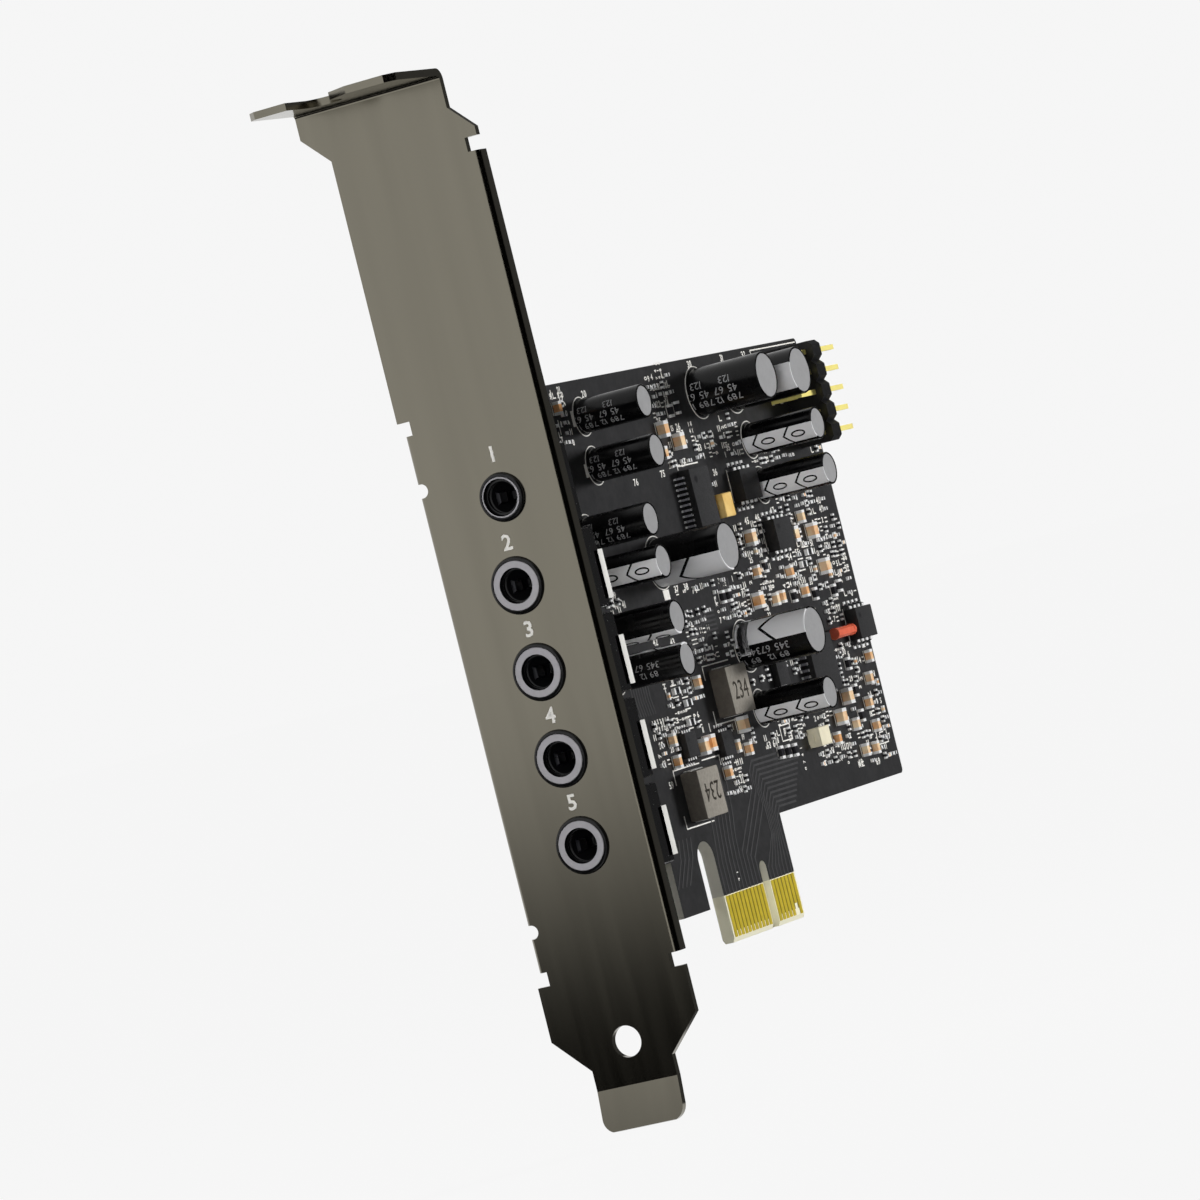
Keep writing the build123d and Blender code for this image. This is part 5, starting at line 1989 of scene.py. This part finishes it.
@dataclass
class Studio:
    """The floor, the backdrop, the cards, the lamps and the camera."""

    lens: float = 221.76
    # Where the camera stands in metres, and how it is turned in degrees.
    camera_at: Point = (-0.72990, -0.37624, -0.05911)
    heading: float = 26.117
    pitch: float = -0.1263
    roll: float = -14.0186
    floor_z: float = -0.12
    floor_reach: float = 6.0
    floor_glow: float = 0.911
    # How bright the surround is as a light, and as what the camera and reflections see.
    surround: Flat = (0.06, 0.92)
    lamp_target: Point = (40.0, 0.0, 55.0)
    lamp_spread: float = 30.0

    def build(self) -> None:
        """Sets the whole stage."""
        self._world()
        self._floor()
        self._cards()
        self._lamps()
        self._camera()

    @staticmethod
    def _seen(nodes: NodeTree) -> Socket:
        """1 for the camera's rays and for reflections, and 0 for all other light."""
        path = nodes.node("ShaderNodeLightPath")
        return nodes.math("MAXIMUM", path.outputs["Is Camera Ray"], path.outputs["Is Glossy Ray"])

    def _world(self) -> None:
        """A pale surround that the camera and reflections see, and a softer light."""
        world = bpy.data.worlds.new("surround")
        bpy.context.scene.world = world
        world.use_nodes = True
        nodes = NodeTree(world.node_tree)
        light, shown = self.surround
        span = nodes.node("ShaderNodeMapRange", Value=self._seen(nodes), To_Min=light,
                          To_Max=shown)
        back = world.node_tree.nodes["Background"]
        back.inputs["Color"].default_value = (1, 1, 1, 1)
        nodes.feed(back.inputs["Strength"], span.outputs["Result"])

    def _floor(self) -> None:
        """A broad pale floor that fades into the surround."""
        mesh = bpy.data.meshes.new("floor")
        corners = [(self.floor_reach * x, self.floor_reach * y, self.floor_z)
                   for x, y in ((-1, -1), (1, -1), (1, 1), (-1, 1))]
        mesh.from_pydata(corners, [], [(0, 1, 2, 3)])
        floor = put_in_scene("floor", mesh)
        material = bpy.data.materials.new("floor_card")
        material.use_nodes = True
        nodes = NodeTree(material.node_tree)
        shader = material.node_tree.nodes["Principled BSDF"]
        shader.inputs["Base Color"].default_value = (0.86, 0.86, 0.86, 1)
        shader.inputs["Roughness"].default_value = 0.9
        shader.inputs["Specular IOR Level"].default_value = 0.0
        glow = nodes.node("ShaderNodeEmission", Color=(1.0, 1.0, 1.0, 1))
        share = nodes.math("MULTIPLY", self._seen(nodes), self.floor_glow)
        mix = nodes.node("ShaderNodeMixShader", Fac=share)
        nodes.feed(mix.inputs[1], shader.outputs["BSDF"])
        nodes.feed(mix.inputs[2], glow.outputs["Emission"])
        surface = material.node_tree.nodes["Material Output"].inputs["Surface"]
        nodes.feed(surface, mix.outputs["Shader"])
        mesh.materials.append(material)

    def _cards(self) -> None:
        """Darker screens that only reflections see, round the foot and on the board's side."""
        self._screen("foot_screen", place(0, 0, 0), 0.16, (95, 215), (-0.0003, 0.050), 0.006,
                     0.008, fade=(0.001, 0.048))
        middle = place(10, 0, 0)
        self._screen("dark_screen", middle, 0.45, (230, 310), (-0.0005, 0.60), 0.004, 0.012)
        self._screen("grey_screen", middle, 0.45, (310, 372), (-0.0005, 0.60), 0.10, 0.012)

    def _screen(
        self,
        name: str,
        centre: Vector,
        radius: float,
        azimuths: Flat,
        heights: Flat,
        level: float,
        skirt: float,
        fade: Optional[Flat] = None,
    ) -> None:
        """One upright screen, bent round the card, that only reflections see.

        Args:
            name: The screen's name.
            centre: The point that it is bent round.
            radius: Its distance from that point.
            azimuths: Where it starts and ends, in degrees from X towards Y.
            heights: Its lower and upper edge above the point.
            level: How bright it looks, with white as 1.
            skirt: The inner radius of its level foot.
            fade: Heights between which it thins out to nothing, or None.
        """
        steps = 24
        rows = [(radius, heights[1]), (radius, heights[0]), (skirt, heights[0])]
        points, faces = [], []
        for step in range(steps + 1):
            turn = math.radians(azimuths[0] + (azimuths[1] - azimuths[0]) * step / steps)
            points += [centre + Vector((r * math.cos(turn), r * math.sin(turn), h))
                       for r, h in rows]
        width = len(rows)
        for step in range(steps):
            for row in range(width - 1):
                low = step * width + row
                faces.append((low, low + 1, low + 1 + width, low + width))
        mesh = bpy.data.meshes.new(name)
        mesh.from_pydata(points, [], faces)
        screen = put_in_scene(name, mesh)
        mesh.materials.append(self._paper(name, centre.z, level, fade))
        screen.visible_camera = False
        screen.visible_shadow = False
        screen.visible_diffuse = False

    @staticmethod
    def _paper(name: str, floor: float, level: float, fade: Optional[Flat]) -> bpy.types.Material:
        """A screen's material.

        Args:
            name: The screen's name.
            floor: The height that the fade is measured from.
            level: How bright it looks, with white as 1.
            fade: Heights between which it thins out to nothing, or None.

        Returns:
            The material.
        """
        material = bpy.data.materials.new(f"{name}_paper")
        material.use_nodes = True
        shader = material.node_tree.nodes["Principled BSDF"]
        shader.inputs["Base Color"].default_value = (0, 0, 0, 1)
        shader.inputs["Specular IOR Level"].default_value = 0.0
        shader.inputs["Emission Color"].default_value = (1, 1, 1, 1)
        shader.inputs["Emission Strength"].default_value = level
        if fade is not None:
            nodes = NodeTree(material.node_tree)
            where = nodes.node("ShaderNodeTexCoord")
            split = nodes.node("ShaderNodeSeparateXYZ", Vector=where.outputs["Object"])
            span = nodes.node("ShaderNodeMapRange", Value=split.outputs["Z"],
                              From_Min=floor + fade[0], From_Max=floor + fade[1],
                              To_Min=1.0, To_Max=0.0)
            span.interpolation_type = "SMOOTHSTEP"
            nodes.feed(shader.inputs["Alpha"], span.outputs["Result"])
        return material

    def _lamps(self) -> None:
        """Three soft lamps: on the board's parts, on the bracket and from the front."""
        self._lamp("key", (1.00, -0.75, -0.04), 0.30, 0.84)
        self._lamp("fill", (-0.90, 0.03, -0.02), 0.15, 0.066)
        self._lamp("front", (-0.85, -0.27, -0.10), 0.3, 0.195)

    def _lamp(self, name: str, at: Point, size: float, watts: float) -> None:
        """One square lamp that faces the card.

        Args:
            name: The lamp's name.
            at: Where it stands.
            size: The length of its side.
            watts: Its power.
        """
        data = bpy.data.lights.new(name, "AREA")
        data.shape = "SQUARE"
        data.size = size
        data.energy = watts
        data.spread = math.radians(self.lamp_spread)
        lamp = put_in_scene(name, data)
        lamp.location = at
        lamp.visible_glossy = False
        aim = place(*self.lamp_target) - Vector(at)
        lamp.rotation_euler = aim.to_track_quat("-Z", "Y").to_euler()

    def _camera(self) -> None:
        """The camera at the photograph's viewing angle."""
        turn, tilt, roll = (math.radians(a) for a in (self.heading, self.pitch, self.roll))
        ahead = Vector((math.cos(turn) * math.cos(tilt), math.sin(turn) * math.cos(tilt),
                        math.sin(tilt)))
        right = Vector((math.sin(turn), -math.cos(turn), 0.0))
        up = right.cross(ahead)
        rolled_right = math.cos(roll) * right + math.sin(roll) * up
        rolled_up = -math.sin(roll) * right + math.cos(roll) * up
        data = bpy.data.cameras.new("camera")
        data.lens = self.lens
        data.sensor_width = 36.0
        data.clip_start = 0.05
        data.clip_end = 50.0
        camera = put_in_scene("camera", data)
        grid = Matrix((rolled_right, rolled_up, -ahead)).transposed()
        camera.matrix_world = Matrix.Translation(self.camera_at) @ grid.to_4x4()
        bpy.context.scene.camera = camera


def dress_cad_nodes() -> None:
    """Gives every CAD node that stays its finish."""
    finishes = {**CAD_FINISHES, "circuit_board": BoardFinish()}
    for node, finish in finishes.items():
        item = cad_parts[node]
        material = finish.material()
        if not item.material_slots:
            item.data.materials.append(material)
        for entry in item.material_slots:
            entry.material = material


def main() -> None:
    """Builds the card's looks and the studio round it."""
    logging.basicConfig(level=logging.INFO, format="%(message)s")
    bpy.context.scene.view_settings.view_transform = "Standard"
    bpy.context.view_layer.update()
    dress_cad_nodes()
    Sockets().build()
    Capacitors().build()
    SmallParts().build()
    TinyParts().build()
    SocketNumbers().build()
    BoardPrint().build()
    Traces().build()
    Chips().build()
    Coils().build()
    SolderJoints().build()
    Studio().build()


if __name__ == "__main__":
    main()
